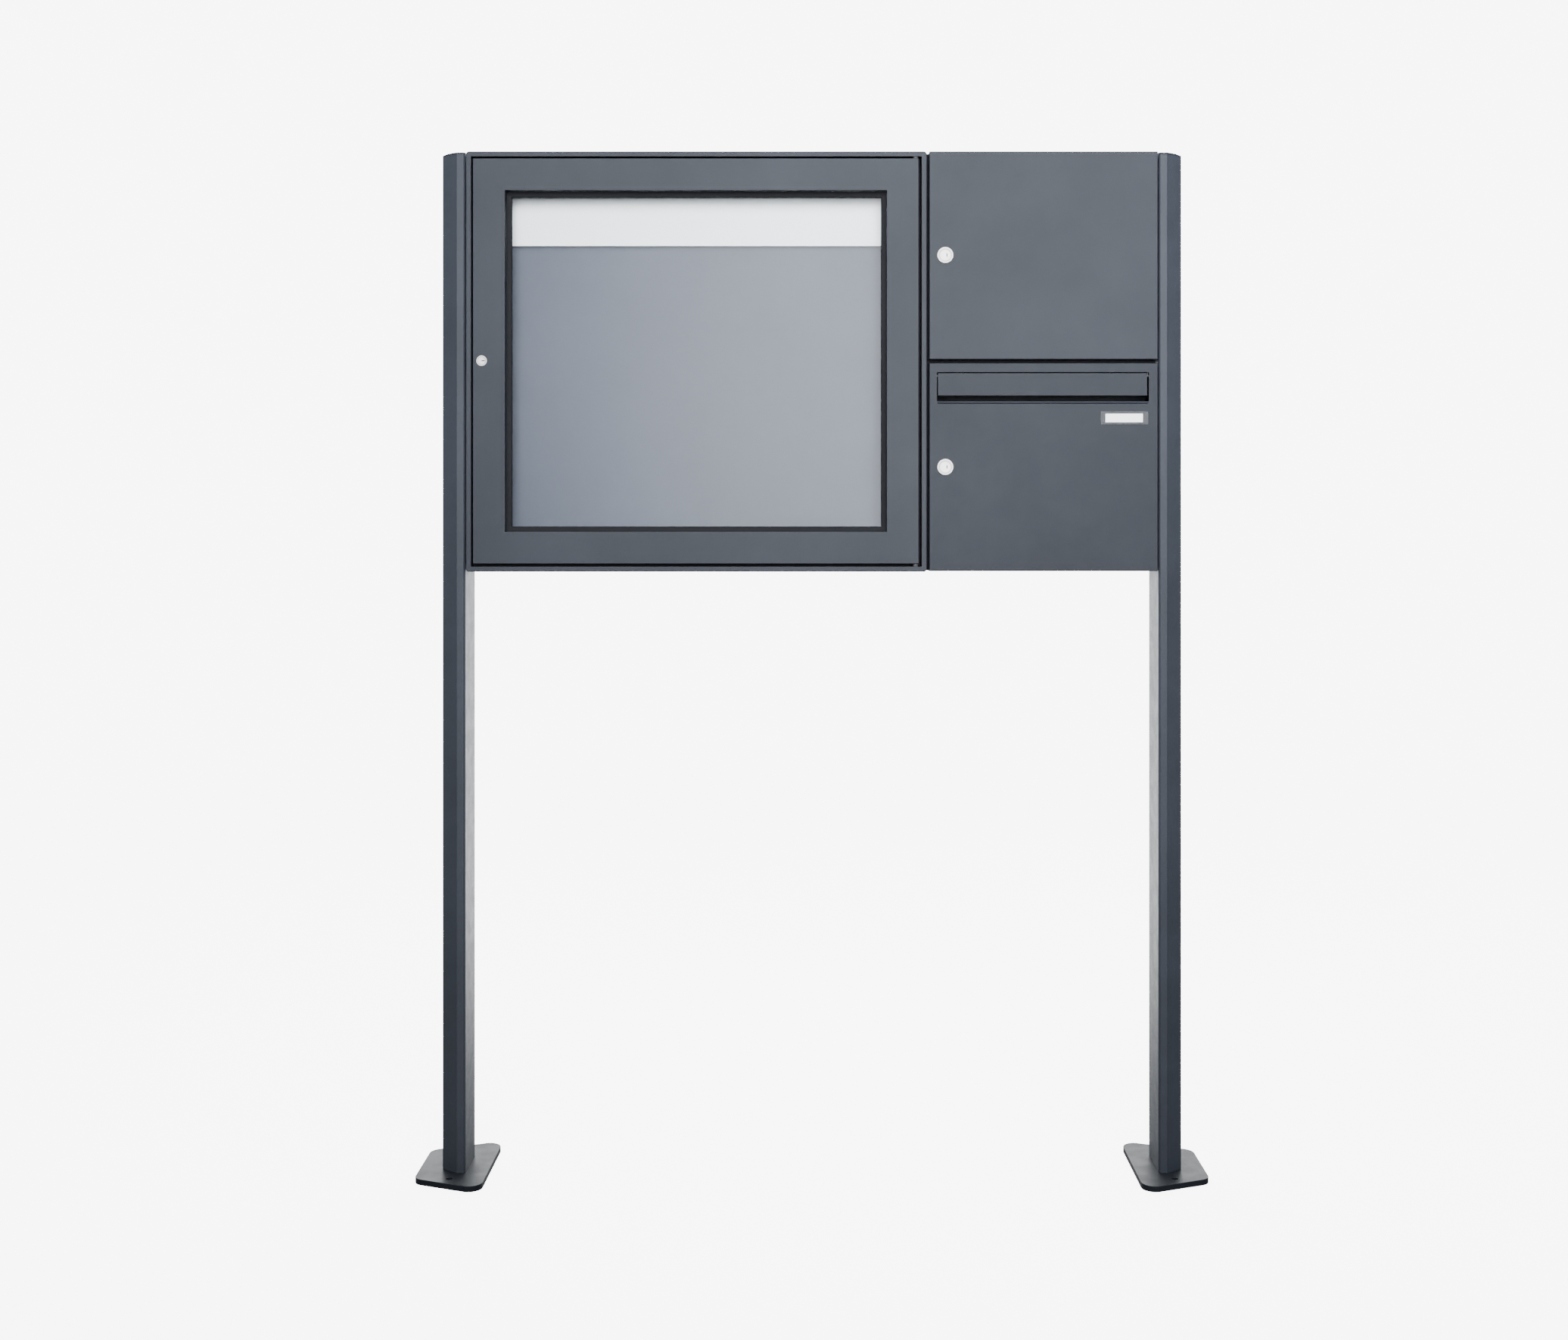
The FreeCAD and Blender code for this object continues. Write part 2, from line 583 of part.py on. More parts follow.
def rivet_places():
    """Places round the back flange: four along the top and bottom, two up each side."""
    left, right = shrink(CASE_X, "rivet_inset")
    low, high = shrink(CASE_Z, "rivet_inset")
    places = []
    for step in (0.1, 0.37, 0.63, 0.9):
        x = f"({left} + {step} * ({right} - {left}))"
        places += [(x, low), (x, high)]
    for step in (0.33, 0.67):
        z = f"({low} + {step} * ({high} - {low}))"
        places += [(left, z), (right, z)]
    return places


def make_case():
    outer = rounded(block(CASE_X, ("front_level", CASE_REAR), CASE_Z), "case_round", runs_along("y"))
    outer = rounded(outer, "rim_edge", on_plane("y", "front_level"))
    pocket_space = block(shrink(CASE_X, "rim"), ("front_level - 1", LIP_FRONT), shrink(CASE_Z, "rim"))
    stop_opening = block(shrink(CASE_X, "(rim + stop_lip)"), (LIP_FRONT, LIP_BACK),
                         shrink(CASE_Z, "(rim + stop_lip)"))
    flange_front = f"({CASE_REAR} - rear_flange_sheet)"
    rear_space = block(shrink(CASE_X, "case_wall"), (LIP_BACK, flange_front),
                       shrink(CASE_Z, "case_wall"))
    rear_opening = block(shrink(CASE_X, "rear_flange"), (flange_front, f"({CASE_REAR} + 1)"),
                         shrink(CASE_Z, "rear_flange"))
    tools = [pocket_space, stop_opening, rear_space, rear_opening]

    pin_hole = "display_pin + seat_gap"
    top_rim = ("(case_top - rim - 1)", "(case_top - rim + display_pin_in_rim)")
    low_rim = (f"({CASE_BOTTOM} + rim - display_pin_in_rim)", f"({CASE_BOTTOM} + rim + 1)")
    tools += [rod("z", DISPLAY_AXIS, pin_hole, top_rim), rod("z", DISPLAY_AXIS, pin_hole, low_rim)]
    for level in case_fixing_levels():
        wall = grow((CASE_LEFT, f"({CASE_LEFT} + case_wall)"), BEYOND)
        tools.append(rod("x", ("0", level), "bolt_hole", wall))
    for level in box_fixing_levels():
        wall = grow((f"({CASE_RIGHT} - case_wall)", CASE_RIGHT), BEYOND)
        tools.append(rod("x", ("joint_bolt_y", level), "bolt_hole", wall))
    for place in rivet_places():
        flange = grow((flange_front, CASE_REAR), BEYOND)
        tools.append(rod("y", place, "rivet_radius + seat_gap", flange))
    sub_part("display_case_frame", cut(outer, group(tools)))

    sheet = rounded(block(CASE_X, (CASE_REAR, "back_level"), CASE_Z), "case_round", runs_along("y"))
    holes = [rod("y", place, "rivet_radius + seat_gap", grow((CASE_REAR, "back_level"), BEYOND))
             for place in rivet_places()]
    sub_part("display_case_back", cut(sheet, group(holes)))

    rivets = []
    for place in rivet_places():
        tail = rod("y", place, "rivet_tail", (f"({flange_front} - rivet_tail_height)", flange_front))
        shank = rod("y", place, "rivet_radius", (flange_front, "back_level"))
        head = cone("y", place, "rivet_head", "rivet_radius",
                    ("back_level", "back_level + rivet_head_height"))
        rivets.append(fuse(tail, shank, head))
    sub_part("case_back_rivets", group(rivets))


def make_case_inside():
    board = block(shrink(CASE_X, "board_margin"), ("board_front", BOARD_BACK),
                  shrink(CASE_Z, "board_margin"))
    sub_part("notice_board", board)

    standoffs = []
    left, right = shrink(CASE_X, "standoff_inset")
    low, high = shrink(CASE_Z, "standoff_inset")
    for x in (left, f"(({left} + {right})/2)", right):
        for z in (low, high):
            standoffs.append(rod("y", (x, z), "standoff_radius", (BOARD_BACK, CASE_REAR)))
    sub_part("board_standoffs", group(standoffs))

    header_x = grow(WINDOW_X, "header_overlap")
    header_z = ("header_bottom", "header_top")
    front = "(board_front - header_depth)"
    shell = block(header_x, (front, "board_front"), header_z)
    hollow = block(shrink(header_x, "header_sheet"), (f"({front} + header_sheet)", "board_front + 1"),
                   shrink(header_z, "header_sheet"))
    sub_part("header_strip", cut(shell, hollow))

    brackets = []
    left, right = shrink(header_x, "header_bracket_inset")
    for x in ((left, f"({left} + header_bracket_width)"), (f"({right} - header_bracket_width)", right)):
        brackets.append(block(x, (f"({front} + header_sheet)", "board_front"),
                              ("header_bracket_bottom", "header_bracket_top")))
    sub_part("header_brackets", group(brackets))


def make_door_seal():
    """A rubber ring on the stop lip, where the closed door's edge lands."""
    outer_x = shrink(CASE_X, "(rim + seal_inset)")
    outer_z = shrink(CASE_Z, "(rim + seal_inset)")
    depth = (f"({LIP_FRONT} - seal_height)", LIP_FRONT)
    ring = cut(block(outer_x, depth, outer_z),
               block(shrink(outer_x, "seal_width"), grow(depth, BEYOND), shrink(outer_z, "seal_width")))
    sub_part("case_door_seal", ring)


def make_case_hinge_pins():
    top = ("(case_top - rim - door_gap_free - display_pin_in_door)", "(case_top - rim + display_pin_in_rim)")
    low = (f"({CASE_BOTTOM} + rim - display_pin_in_rim)", f"({DOOR_Z[0]} + display_pin_in_door)")
    sub_part("case_hinge_pins", group([rod("z", DISPLAY_AXIS, "display_pin", top),
                                       rod("z", DISPLAY_AXIS, "display_pin", low)]))


# ---------------------------------------------------------------- display door

def clip_places():
    """(axis across the edge, outward sign, edge, middle of the clip) for each glass clip."""
    places = []
    for x in shrink(WINDOW_X, "clip_inset"):
        places += [("z", -1, WINDOW_Z[0], x), ("z", 1, WINDOW_Z[1], x)]
    for z in shrink(WINDOW_Z, "clip_inset"):
        places += [("x", -1, WINDOW_X[0], z), ("x", 1, WINDOW_X[1], z)]
    return places


def clip_block(place, near, far, depth):
    """A block beside the window, from near to far outward of its edge."""
    axis, sign, edge, middle = place
    outward = sorted_span(f"({edge} + {sign} * {near})", f"({edge} + {sign} * {far})", sign)
    along = grow((middle, middle), "clip_length/2")
    return block(along, depth, outward) if axis == "z" else block(outward, depth, along)


def clip_screw_place(place):
    axis, sign, edge, middle = place
    line = f"({edge} + {sign} * clip_screw_line)"
    return (middle, line) if axis == "z" else (line, middle)


def make_display_door():
    skin = rounded(block(DOOR_X, ("front_level", DOOR_BACK), DOOR_Z), "door_edge", runs_along("y"))
    skin = rounded(skin, "door_edge", on_plane("y", "front_level"))
    sheet_back = "(front_level + door_sheet)"
    hollow = block(shrink(DOOR_X, "door_sheet"), (sheet_back, f"({DOOR_BACK} + 1)"),
                   shrink(DOOR_Z, "door_sheet"))
    inner_flange = block(grow(WINDOW_X, "door_sheet"), (sheet_back, LAND), grow(WINDOW_Z, "door_sheet"))
    land = block(grow(WINDOW_X, "land_lip"), (f"({LAND} - land_sheet)", LAND), grow(WINDOW_Z, "land_lip"))
    window = block(WINDOW_X, ("front_level - 1", f"({DOOR_BACK} + 1)"), WINDOW_Z)
    in_front = on_plane("y", "front_level")
    at_window = inside_box(grow(WINDOW_X, "0.1"), grow(WINDOW_Z, "0.1"))
    skin = rounded(cut(skin, window), "window_edge", lambda edge: in_front(edge) and at_window(edge))
    tools = [window]
    for z in (DOOR_Z[0], DOOR_Z[1]):
        tools.append(rod("z", DISPLAY_AXIS, "display_bush_hole", grow((z, z), "(display_bush_length + 1)")))
    tools.append(rod("y", DISPLAY_LOCK, "small_barrel + seat_gap",
                     grow(("front_level", sheet_back), BEYOND)))
    clip_hole = "clip_screw + seat_gap"
    land_sheet = (f"({LAND} - land_sheet)", LAND)
    for place in clip_places():
        tools.append(rod("y", clip_screw_place(place), clip_hole, grow(land_sheet, BEYOND)))
    frame = cut(fuse(cut(skin, hollow), inner_flange, land), group(tools))
    sub_part("display_door_frame", frame)

    nose_front = f"({LAND} - gasket_nose_height)"
    sole = block(grow(WINDOW_X, "glass_overlap"), (LAND, GLASS_FRONT), grow(WINDOW_Z, "glass_overlap"))
    nose = block(WINDOW_X, (nose_front, LAND), WINDOW_Z)
    sight_x = shrink(WINDOW_X, "gasket_nose")
    sight_z = shrink(WINDOW_Z, "gasket_nose")
    sight = block(sight_x, (f"({nose_front} - 1)", f"({GLASS_FRONT} + 1)"), sight_z)
    gasket = cut(fuse(sole, nose), sight)
    inside_edge = on_plane("y", nose_front)
    near_sight = inside_box(grow(sight_x, "0.1"), grow(sight_z, "0.1"))
    gasket = rounded(gasket, "gasket_chamfer", lambda edge: inside_edge(edge) and near_sight(edge),
                     "Part::Chamfer")
    sub_part("glass_gasket", gasket)

    glass = block(grow(WINDOW_X, "glass_overlap"), (GLASS_FRONT, GLASS_BACK),
                  grow(WINDOW_Z, "glass_overlap"))
    sub_part("display_glass", glass)

    clips = []
    screws = []
    clip_back = f"({GLASS_BACK} + clip_sheet)"
    for place in clip_places():
        body = fuse(clip_block(place, "clip_step", "clip_outer", (LAND, clip_back)),
                    clip_block(place, "clip_inner", "clip_step", (GLASS_BACK, clip_back)))
        centre = clip_screw_place(place)
        clips.append(cut(body, rod("y", centre, clip_hole, grow((LAND, clip_back), BEYOND))))
        head = rod("y", centre, "clip_screw_head", (clip_back, f"({clip_back} + clip_screw_head_height)"))
        screws.append(fuse(head, rod("y", centre, "clip_screw", (f"({LAND} - land_sheet)", clip_back))))
    sub_part("glass_clips", group(clips))
    sub_part("glass_clip_screws", group(screws))

    bore = "display_pin + running_gap"
    top = tube("z", DISPLAY_AXIS, "display_bush", bore, (f"({DOOR_Z[1]} - display_bush_length)", DOOR_Z[1]))
    top_collar = tube("z", DISPLAY_AXIS, "display_bush_collar", bore,
                      (DOOR_Z[1], "(case_top - rim - thrust_gap)"))
    low = tube("z", DISPLAY_AXIS, "display_bush", bore, (DOOR_Z[0], f"({DOOR_Z[0]} + display_bush_length)"))
    low_collar = tube("z", DISPLAY_AXIS, "display_bush_collar", bore,
                      (f"({CASE_BOTTOM} + rim + thrust_gap)", DOOR_Z[0]))
    sub_part("display_hinge_bushes", group([fuse(top, top_collar), fuse(low, low_collar)]))


def inside_box(x, z):
    """True for an edge whose outline in X and Z lies inside the two spans."""
    low_x, high_x, low_z, high_z = (number(value) for value in (*x, *z))
    return lambda edge: (edge.BoundBox.XMin > low_x and edge.BoundBox.XMax < high_x
                         and edge.BoundBox.ZMin > low_z and edge.BoundBox.ZMax < high_z)


# ---------------------------------------------------------------- locks

def keyway(centre, half_x, half_z, face):
    x = grow((centre[0], centre[0]), half_x)
    z = grow((centre[1], centre[1]), half_z)
    return block(x, (f"({face} - 1)", f"({face} + keyway_depth)"), z)


def make_cam(name, centre, length, width, start):
    """A flat lever on the plug's square tang; it hangs down while the lock is open."""
    depth = (start, f"({start} + cam_sheet)")
    lever_z = (f"({centre[1]} - {length})", centre[1])
    lever = block(grow((centre[0], centre[0]), f"{width}/2"), depth, lever_z)
    cam = fuse(lever, rod("y", centre, f"{width}/2", depth))
    hole = grow(("0", "0"), "(tang_half + seat_gap)")
    square = block(tuple(f"({centre[0]} + {side})" for side in hole), grow(depth, BEYOND),
                   tuple(f"({centre[1]} + {side})" for side in hole))
    sub_part(f"{name}_lock_cam", cut(cam, square))

    head_start = f"({start} + cam_sheet)"
    head = rod("y", centre, "cam_screw_head", (head_start, f"({head_start} + cam_screw_head_height)"))
    shank = rod("y", centre, "cam_screw_radius", (f"({start} - cam_screw_depth)", head_start))
    slot = block(grow((centre[0], centre[0]), "cam_screw_head + 1"),
                 (f"({head_start} + cam_screw_head_height/2)", f"({head_start} + 3)"),
                 grow((centre[1], centre[1]), "0.4"))
    sub_part(f"{name}_cam_screw", cut(fuse(head, shank), slot))


def make_plug(name, parts, centre, end, key):
    """The turning cylinder: face, core and square tang, with the keyway and screw hole."""
    tang_x = grow((centre[0], centre[0]), "tang_half")
    tang_z = grow((centre[1], centre[1]), "tang_half")
    tang = block(tang_x, (end, f"({end} + cam_sheet)"), tang_z)
    screw_hole = rod("y", centre, "cam_screw_radius + seat_gap",
                     (f"({end} - cam_screw_depth - 0.5)", f"({end} + cam_sheet + 1)"))
    sub_part(f"{name}_lock_plug", cut(fuse(*parts, tang), key, screw_hole))


def make_lock_nut(name, centre, barrel, size, start):
    nut = hexagon("y", centre, size, (start, f"({start} + lock_nut_height)"))
    hole = rod("y", centre, f"{barrel} + seat_gap", grow((start, f"({start} + lock_nut_height)"), BEYOND))
    sub_part(f"{name}_lock_nut", cut(nut, hole))


def make_box_lock(name, level):
    centre = (BOX_LOCK_X, level)
    face = "(front_level - rosette_height)"
    rosette = rounded(rod("y", centre, "rosette", (face, "front_level")), "rosette_edge",
                      on_plane("y", face))
    barrel = rod("y", centre, "barrel", ("front_level", "box_barrel_end"))
    seat = f"({face} + plug_recess + plug_face_height)"
    recess = rod("y", centre, "plug_face + running_gap", (f"({face} - 1)", seat))
    bore = rod("y", centre, "plug_radius + running_gap", (face, "(box_barrel_end + 1)"))
    sub_part(f"{name}_lock_body", cut(fuse(rosette, barrel), recess, bore))

    plug_front = f"({face} + plug_recess)"
    disc = rod("y", centre, "plug_face", (plug_front, seat))
    core = rod("y", centre, "plug_radius", (seat, "box_barrel_end"))
    key_centre = (f"({centre[0]} + keyway_offset)", centre[1])
    key = keyway(key_centre, "keyway_half_width", "keyway_half_length", plug_front)
    make_plug(name, [disc, core], centre, "box_barrel_end", key)
    make_cam(name, centre, "box_cam_length", "box_cam_width", "box_barrel_end")
    make_lock_nut(name, centre, "barrel", "(barrel + 4.5)", DOOR_SHEET_BACK)


def make_display_lock():
    centre = DISPLAY_LOCK
    face = "(front_level - small_rosette_height)"
    rosette = rounded(rod("y", centre, "small_rosette", (face, "front_level")), "small_rosette_edge",
                      on_plane("y", face))
    barrel = rod("y", centre, "small_barrel", ("front_level", "case_barrel_end"))
    bore = rod("y", centre, "small_plug + running_gap", (f"({face} - 1)", "(case_barrel_end + 1)"))
    sub_part("display_lock_body", cut(fuse(rosette, barrel), bore))

    plug_front = f"({face} + 0.3)"
    core = rod("y", centre, "small_plug", (plug_front, "case_barrel_end"))
    key_centre = (f"({centre[0]} + keyway_offset)", centre[1])
    key = keyway(key_centre, "keyway_half_length", "keyway_half_width", plug_front)
    make_plug("display", [core], centre, "case_barrel_end", key)
    make_cam("display", centre, "case_cam_length", "case_cam_width", "case_barrel_end")
    make_lock_nut("display", centre, "small_barrel", "(small_barrel + 3.6)", "(front_level + door_sheet)")


# ---------------------------------------------------------------- boxes

def end_levels(z):
    """For the top and the bottom end of a box: (level, sign that points into the box)."""
    return [(z[1], -1), (z[0], 1)]


def inward(level, sign, near, far):
    span = (f"({level} + {sign} * {near})", f"({level} + {sign} * {far})")
    return span if sign > 0 else span[::-1]


def make_box_body(name, z, extra_holes):
    """A sheet-metal tube with a front flange all round and hinge tabs at the right."""
    outer = block(BOX_X, ("box_front", "back_level"), z)
    flange_back = "(box_front + box_sheet)"
    inside = block(BOX_INNER_X, (flange_back, "back_level + 1"), shrink(z, "box_sheet"))
    opening = block(shrink(BOX_X, "box_flange"), ("box_front - 1", flange_back), shrink(z, "box_flange"))
    tabs = []
    tools = [inside, opening]
    for level, sign in end_levels(z):
        height = inward(level, sign, "tab_offset", "(tab_offset + tab_thickness)")
        arm_x = (f"({BOX_AXIS[0]} - tab_left)", f"({BOX_AXIS[0]} + tab_right)")
        tabs.append(block(arm_x, (BOX_AXIS[1], flange_back), height))
        tabs.append(rod("z", BOX_AXIS, "tab_radius", height))
        tools.append(rod("z", BOX_AXIS, "box_pin + seat_gap", grow(height, BEYOND)))
    body = fuse(cut(outer, inside, opening), *tabs)
    sub_part(f"{name}_body", cut(body, *tools[2:], *extra_holes))

    sheet = block(BOX_INNER_X, ("(back_level - box_sheet)", "back_level"), shrink(z, "box_sheet"))
    sub_part(f"{name}_back", sheet)


def box_wall_holes(z):
    """Holes for the screws into the post and into the case."""
    holes = []
    left_wall = grow((BOX_X[0], BOX_INNER_X[0]), BEYOND)
    right_wall = grow((BOX_INNER_X[1], BOX_X[1]), BEYOND)
    for level in (f"({z[0]} + box_bolt_inset)", f"({z[1]} - box_bolt_inset)"):
        holes.append(rod("x", ("0", level), "bolt_hole", right_wall))
        holes.append(rod("x", ("joint_bolt_y", level), "bolt_hole", left_wall))
    return holes


def stack_holes(wall):
    return [rod("z", centre, "bolt_hole", grow(wall, BEYOND)) for centre in stack_bolt_centres()]


def make_boxes():
    floor = (UPPER_Z[0], f"({UPPER_Z[0]} + box_sheet)")
    ceiling = (f"({LOWER_Z[1]} - box_sheet)", LOWER_Z[1])
    make_box_body("upper_box", UPPER_Z, box_wall_holes(UPPER_Z) + stack_holes(floor))
    make_box_body("letterbox", LOWER_Z, box_wall_holes(LOWER_Z) + stack_holes(ceiling))

    pins = []
    buffers = []
    for z in (UPPER_Z, LOWER_Z):
        for level, sign in end_levels(z):
            tab_end = "(tab_offset + tab_thickness)"
            head = rod("z", BOX_AXIS, "box_pin_head",
                       inward(level, sign, tab_end, f"({tab_end} + box_pin_head_height)"))
            shank = rod("z", BOX_AXIS, "box_pin", inward(level, sign, "box_pin_end", tab_end))
            pins.append(fuse(head, shank))
            place = (f"({BOX_INNER_X[0]} + hem_width/2)", f"({level} + {sign} * buffer_inset)")
            height = (f"({BOX_DOOR_BACK} + running_gap)", "box_front")
            buffers.append(rod("y", place, "buffer_radius", height))
    sub_part("box_hinge_pins", group(pins))
    sub_part("box_door_buffers", group(buffers))


def box_door_shell(z):
    """A shallow pan with a hem down its free side, notched round the hinge tabs."""
    skin = rounded(block(BOX_X, ("front_level", BOX_DOOR_BACK), z), "box_door_edge", runs_along("y"))
    skin = rounded(skin, "box_door_edge", on_plane("y", "front_level"))
    inner_z = shrink(z, "box_sheet")
    hollow = block(BOX_INNER_X, (DOOR_SHEET_BACK, f"({BOX_DOOR_BACK} + 1)"), inner_z)
    hem = block((BOX_INNER_X[0], f"({BOX_INNER_X[0]} + hem_width)"),
                (f"({BOX_DOOR_BACK} - box_sheet)", BOX_DOOR_BACK), inner_z)
    tools = [hollow]
    notch_depth = (DOOR_SHEET_BACK, f"({BOX_DOOR_BACK} + 1)")
    for level, sign in end_levels(z):
        tools.append(block((BOX_INNER_X[1], f"({BOX_X[1]} + 1)"), notch_depth,
                           inward(level, sign, "box_sheet", "notch_height")))
        tools.append(rod("z", BOX_AXIS, "box_bush_hole", inward(level, sign, "(-1)", "(box_sheet + 1)")))
    return fuse(cut(skin, *tools), hem)


def make_box_hinge_bushes(name, z):
    bushes = []
    bore = "box_pin + running_gap"
    for level, sign in end_levels(z):
        sleeve = rod("z", BOX_AXIS, "box_bush", inward(level, sign, "thrust_gap", "box_sheet"))
        washer = rod("z", BOX_AXIS, "box_bush_flange",
                     inward(level, sign, "box_sheet", "(tab_offset - running_gap)"))
        hole = rod("z", BOX_AXIS, bore, inward(level, sign, "(-1)", "(tab_offset + 1)"))
        bushes.append(cut(fuse(sleeve, washer), hole))
    sub_part(f"{name}_hinge_bushes", group(bushes))


def lock_hole(level):
    return rod("y", (BOX_LOCK_X, level), "barrel + seat_gap", grow(("front_level", DOOR_SHEET_BACK), BEYOND))


def box_lock_level(z):
    return f"(({z[0]} + {z[1]})/2)"


def make_upper_door():
    level = box_lock_level(UPPER_Z)
    sub_part("upper_door_panel", cut(box_door_shell(UPPER_Z), lock_hole(level)))
    make_box_hinge_bushes("upper", UPPER_Z)
    make_box_lock("upper", level)


# ---------------------------------------------------------------- letterbox door and flap

def flap_lugs():
    """The two ears behind the door sheet that hold the flap's hinge rod."""
    depth = (DOOR_SHEET_BACK, f"({DOOR_SHEET_BACK} + lug_depth)")
    height = (f"({FLAP_AXIS[1]} - lug_below)", f"({FLAP_AXIS[1]} + lug_above)")
    left = (f"({SLOT_X[0]} - lug_gap - lug_thickness)", f"({SLOT_X[0]} - lug_gap)")
    right = (f"({SLOT_X[1]} + lug_gap)", f"({SLOT_X[1]} + lug_gap + lug_thickness)")
    return [block(left, depth, height), block(right, depth, height)]


def make_letterbox_door():
    level = box_lock_level(LOWER_Z)
    opening = block(SLOT_X, ("front_level - 5", DOOR_SHEET_BACK + " + 1"), ("slot_bottom", "slot_top"))
    bead_span = shrink(SLOT_X, "bead_inset")
    bead_place = ("front_level", "(slot_bottom - bead_radius)")
    bead = [rod("x", bead_place, "bead_radius", bead_span)]
    for end in bead_span:
        ball = DOC.addObject("Part::Sphere", "BeadEnd")
        bead.append(bind(ball, Radius="bead_radius", Placement__Base__x=end,
                         Placement__Base__y=bead_place[0], Placement__Base__z=bead_place[1]))
    behind = block(grow(bead_span, "3"), (DOOR_SHEET_BACK, f"({DOOR_SHEET_BACK} + 3)"),
                   (f"({bead_place[1]} - bead_radius)", "slot_bottom"))
    rod_span = grow(SLOT_X, "rod_overhang")
    rod_hole = rod("x", FLAP_AXIS, "flap_rod + seat_gap", rod_span)
    shell = cut(box_door_shell(LOWER_Z), lock_hole(level), opening)
    panel = cut(fuse(shell, *flap_lugs(), cut(fuse(*bead), behind)), rod_hole)
    sub_part("letterbox_door_panel", panel)
    make_box_hinge_bushes("letterbox", LOWER_Z)
    make_box_lock("letterbox", level)

    sub_part("flap_hinge_rod", rod("x", FLAP_AXIS, "flap_rod", shrink(rod_span, "0.2")))
    make_flap_spring()
    make_name_plate()


def make_flap():
    """A flat flap with a finger return at its foot and three knuckles on the rod."""
    plate_back = f"({FLAP_FRONT} + flap_sheet)"
    plate = block(FLAP_X, (FLAP_FRONT, plate_back), ("flap_bottom", FLAP_TOP))
    foot = block(FLAP_X, (plate_back, f"({plate_back} + flap_return)"),
                 ("flap_bottom", "(flap_bottom + flap_sheet)"))
    left, right = FLAP_X
    middle = f"(({left} + {right})/2)"
    spring_room = "(spring_start + 2)"
    spans = [(left, f"({left} + knuckle_end)"), grow((middle, middle), "knuckle_end/2"),
             (f"({right} - knuckle_end - {spring_room})", f"({right} - {spring_room})")]
    knuckles = [rod("x", FLAP_AXIS, "knuckle_radius", span) for span in spans]
    bore = rod("x", FLAP_AXIS, "knuckle_bore", grow(FLAP_X, BEYOND))
    sub_part("letter_flap", cut(fuse(plate, foot, *knuckles), bore))


def make_flap_spring():
    """A torsion spring on the rod: a coil, a leg down the flap and a leg up the door.

    The upper leg stands beside the flap's right end, so that the flap's top edge passes it.
    """
    start = number(f"{FLAP_X[1]} - spring_start")
    y, z = number(FLAP_AXIS[0]), number(FLAP_AXIS[1])
    wire, leg = number("spring_wire"), number("spring_leg")
    helix = Part.makeHelix(number("spring_pitch"), number("spring_length"), number("spring_coil"))
    # a helix starts on its own X axis and climbs its own Z axis: these turn to -Y and +X
    turn = Rotation(Vector(0, -1, 0), Vector(0, 0, -1), Vector(1, 0, 0), "ZXY")
    helix.Placement = Placement(Vector(start, y, z), turn)
    edge = helix.Edges[0]
    first = edge.valueAt(edge.FirstParameter)
    last = edge.valueAt(edge.LastParameter)
    profile = Part.Wire(Part.Circle(first, edge.tangentAt(edge.FirstParameter), wire).toShape())
    coil = Part.Wire(helix.Edges).makePipeShell([profile], True, False)
    legs = []
    for point, direction in ((first, Vector(0, 0, -1)), (last, Vector(0, 0, 1))):
        legs.append(Part.makeCylinder(wire, leg, point, direction))
        legs.append(Part.makeSphere(wire, point))
    spring = DOC.addObject("Part::Feature", "FlapSpring")
    spring.Shape = coil.fuse(legs)
    sub_part("flap_spring", spring)


def make_name_plate():
    x = ("plate_name_left", "plate_name_right")
    z = ("plate_name_bottom", "plate_name_top")
    card_x = shrink(x, "card_border_side")
    card_z = shrink(z, "card_border_level")
    holder = rounded(block(x, ("(front_level - plate_name_depth)", "front_level"), z),
                     "plate_name_edge", on_plane("y", "(front_level - plate_name_depth)"))
    pocket_depth = ("(front_level - card_sheet - card_play)", "front_level + 1")
    pocket_space = block(grow(card_x, "card_play"), pocket_depth, grow(card_z, "card_play"))
    sub_part("nameplate_holder", cut(holder, pocket_space))
    sub_part("name_card", block(card_x, ("(front_level - card_sheet)", "front_level"), card_z))


# ---------------------------------------------------------------- build, check, write

def build_all():
    fill_sheet()
    make_post("left_post", -1, case_fixing_levels())
    make_post("right_post", 1, box_fixing_levels())
    make_post_cap("left_post_cap", -1)
    make_post_cap("right_post_cap", 1)
    make_base_plate("left_base_plate", -1)
    make_base_plate("right_base_plate", 1)
    make_base_plate_screws()
    make_post_fixings()
    make_joining_fixings()
    make_joint_strip()
    make_case()
    make_case_inside()
    make_door_seal()
    make_case_hinge_pins()
    make_display_door()
    make_display_lock()
    make_boxes()
    make_upper_door()
    make_letterbox_door()
    make_flap()
    DOC.recompute()


def check_all():
    for obj in DOC.Objects:
        if "Invalid" in obj.State or "Error" in obj.State:
            raise ValueError(f"{obj.Name} ({obj.Label}) failed to compute: {obj.State}")
    for obj in SUB_PARTS:
        if obj.Shape.isNull() or not obj.Shape.isValid():
            raise ValueError(f"{obj.Label} has no valid shape")


def write_all():
    os.makedirs("parts", exist_ok=True)
    for obj in SUB_PARTS:
        obj.Shape.exportStep(f"parts/{obj.Label}.step")
        box = obj.Shape.BoundBox
        print(f"{obj.Label}: {len(obj.Shape.Solids)} solid(s), "
              f"X {box.XMin:.2f} {box.XMax:.2f}  Y {box.YMin:.2f} {box.YMax:.2f}  "
              f"Z {box.ZMin:.2f} {box.ZMax:.2f}")


build_all()
check_all()
write_all()
print(len(SUB_PARTS), "sub-parts")
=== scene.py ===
import json
import math

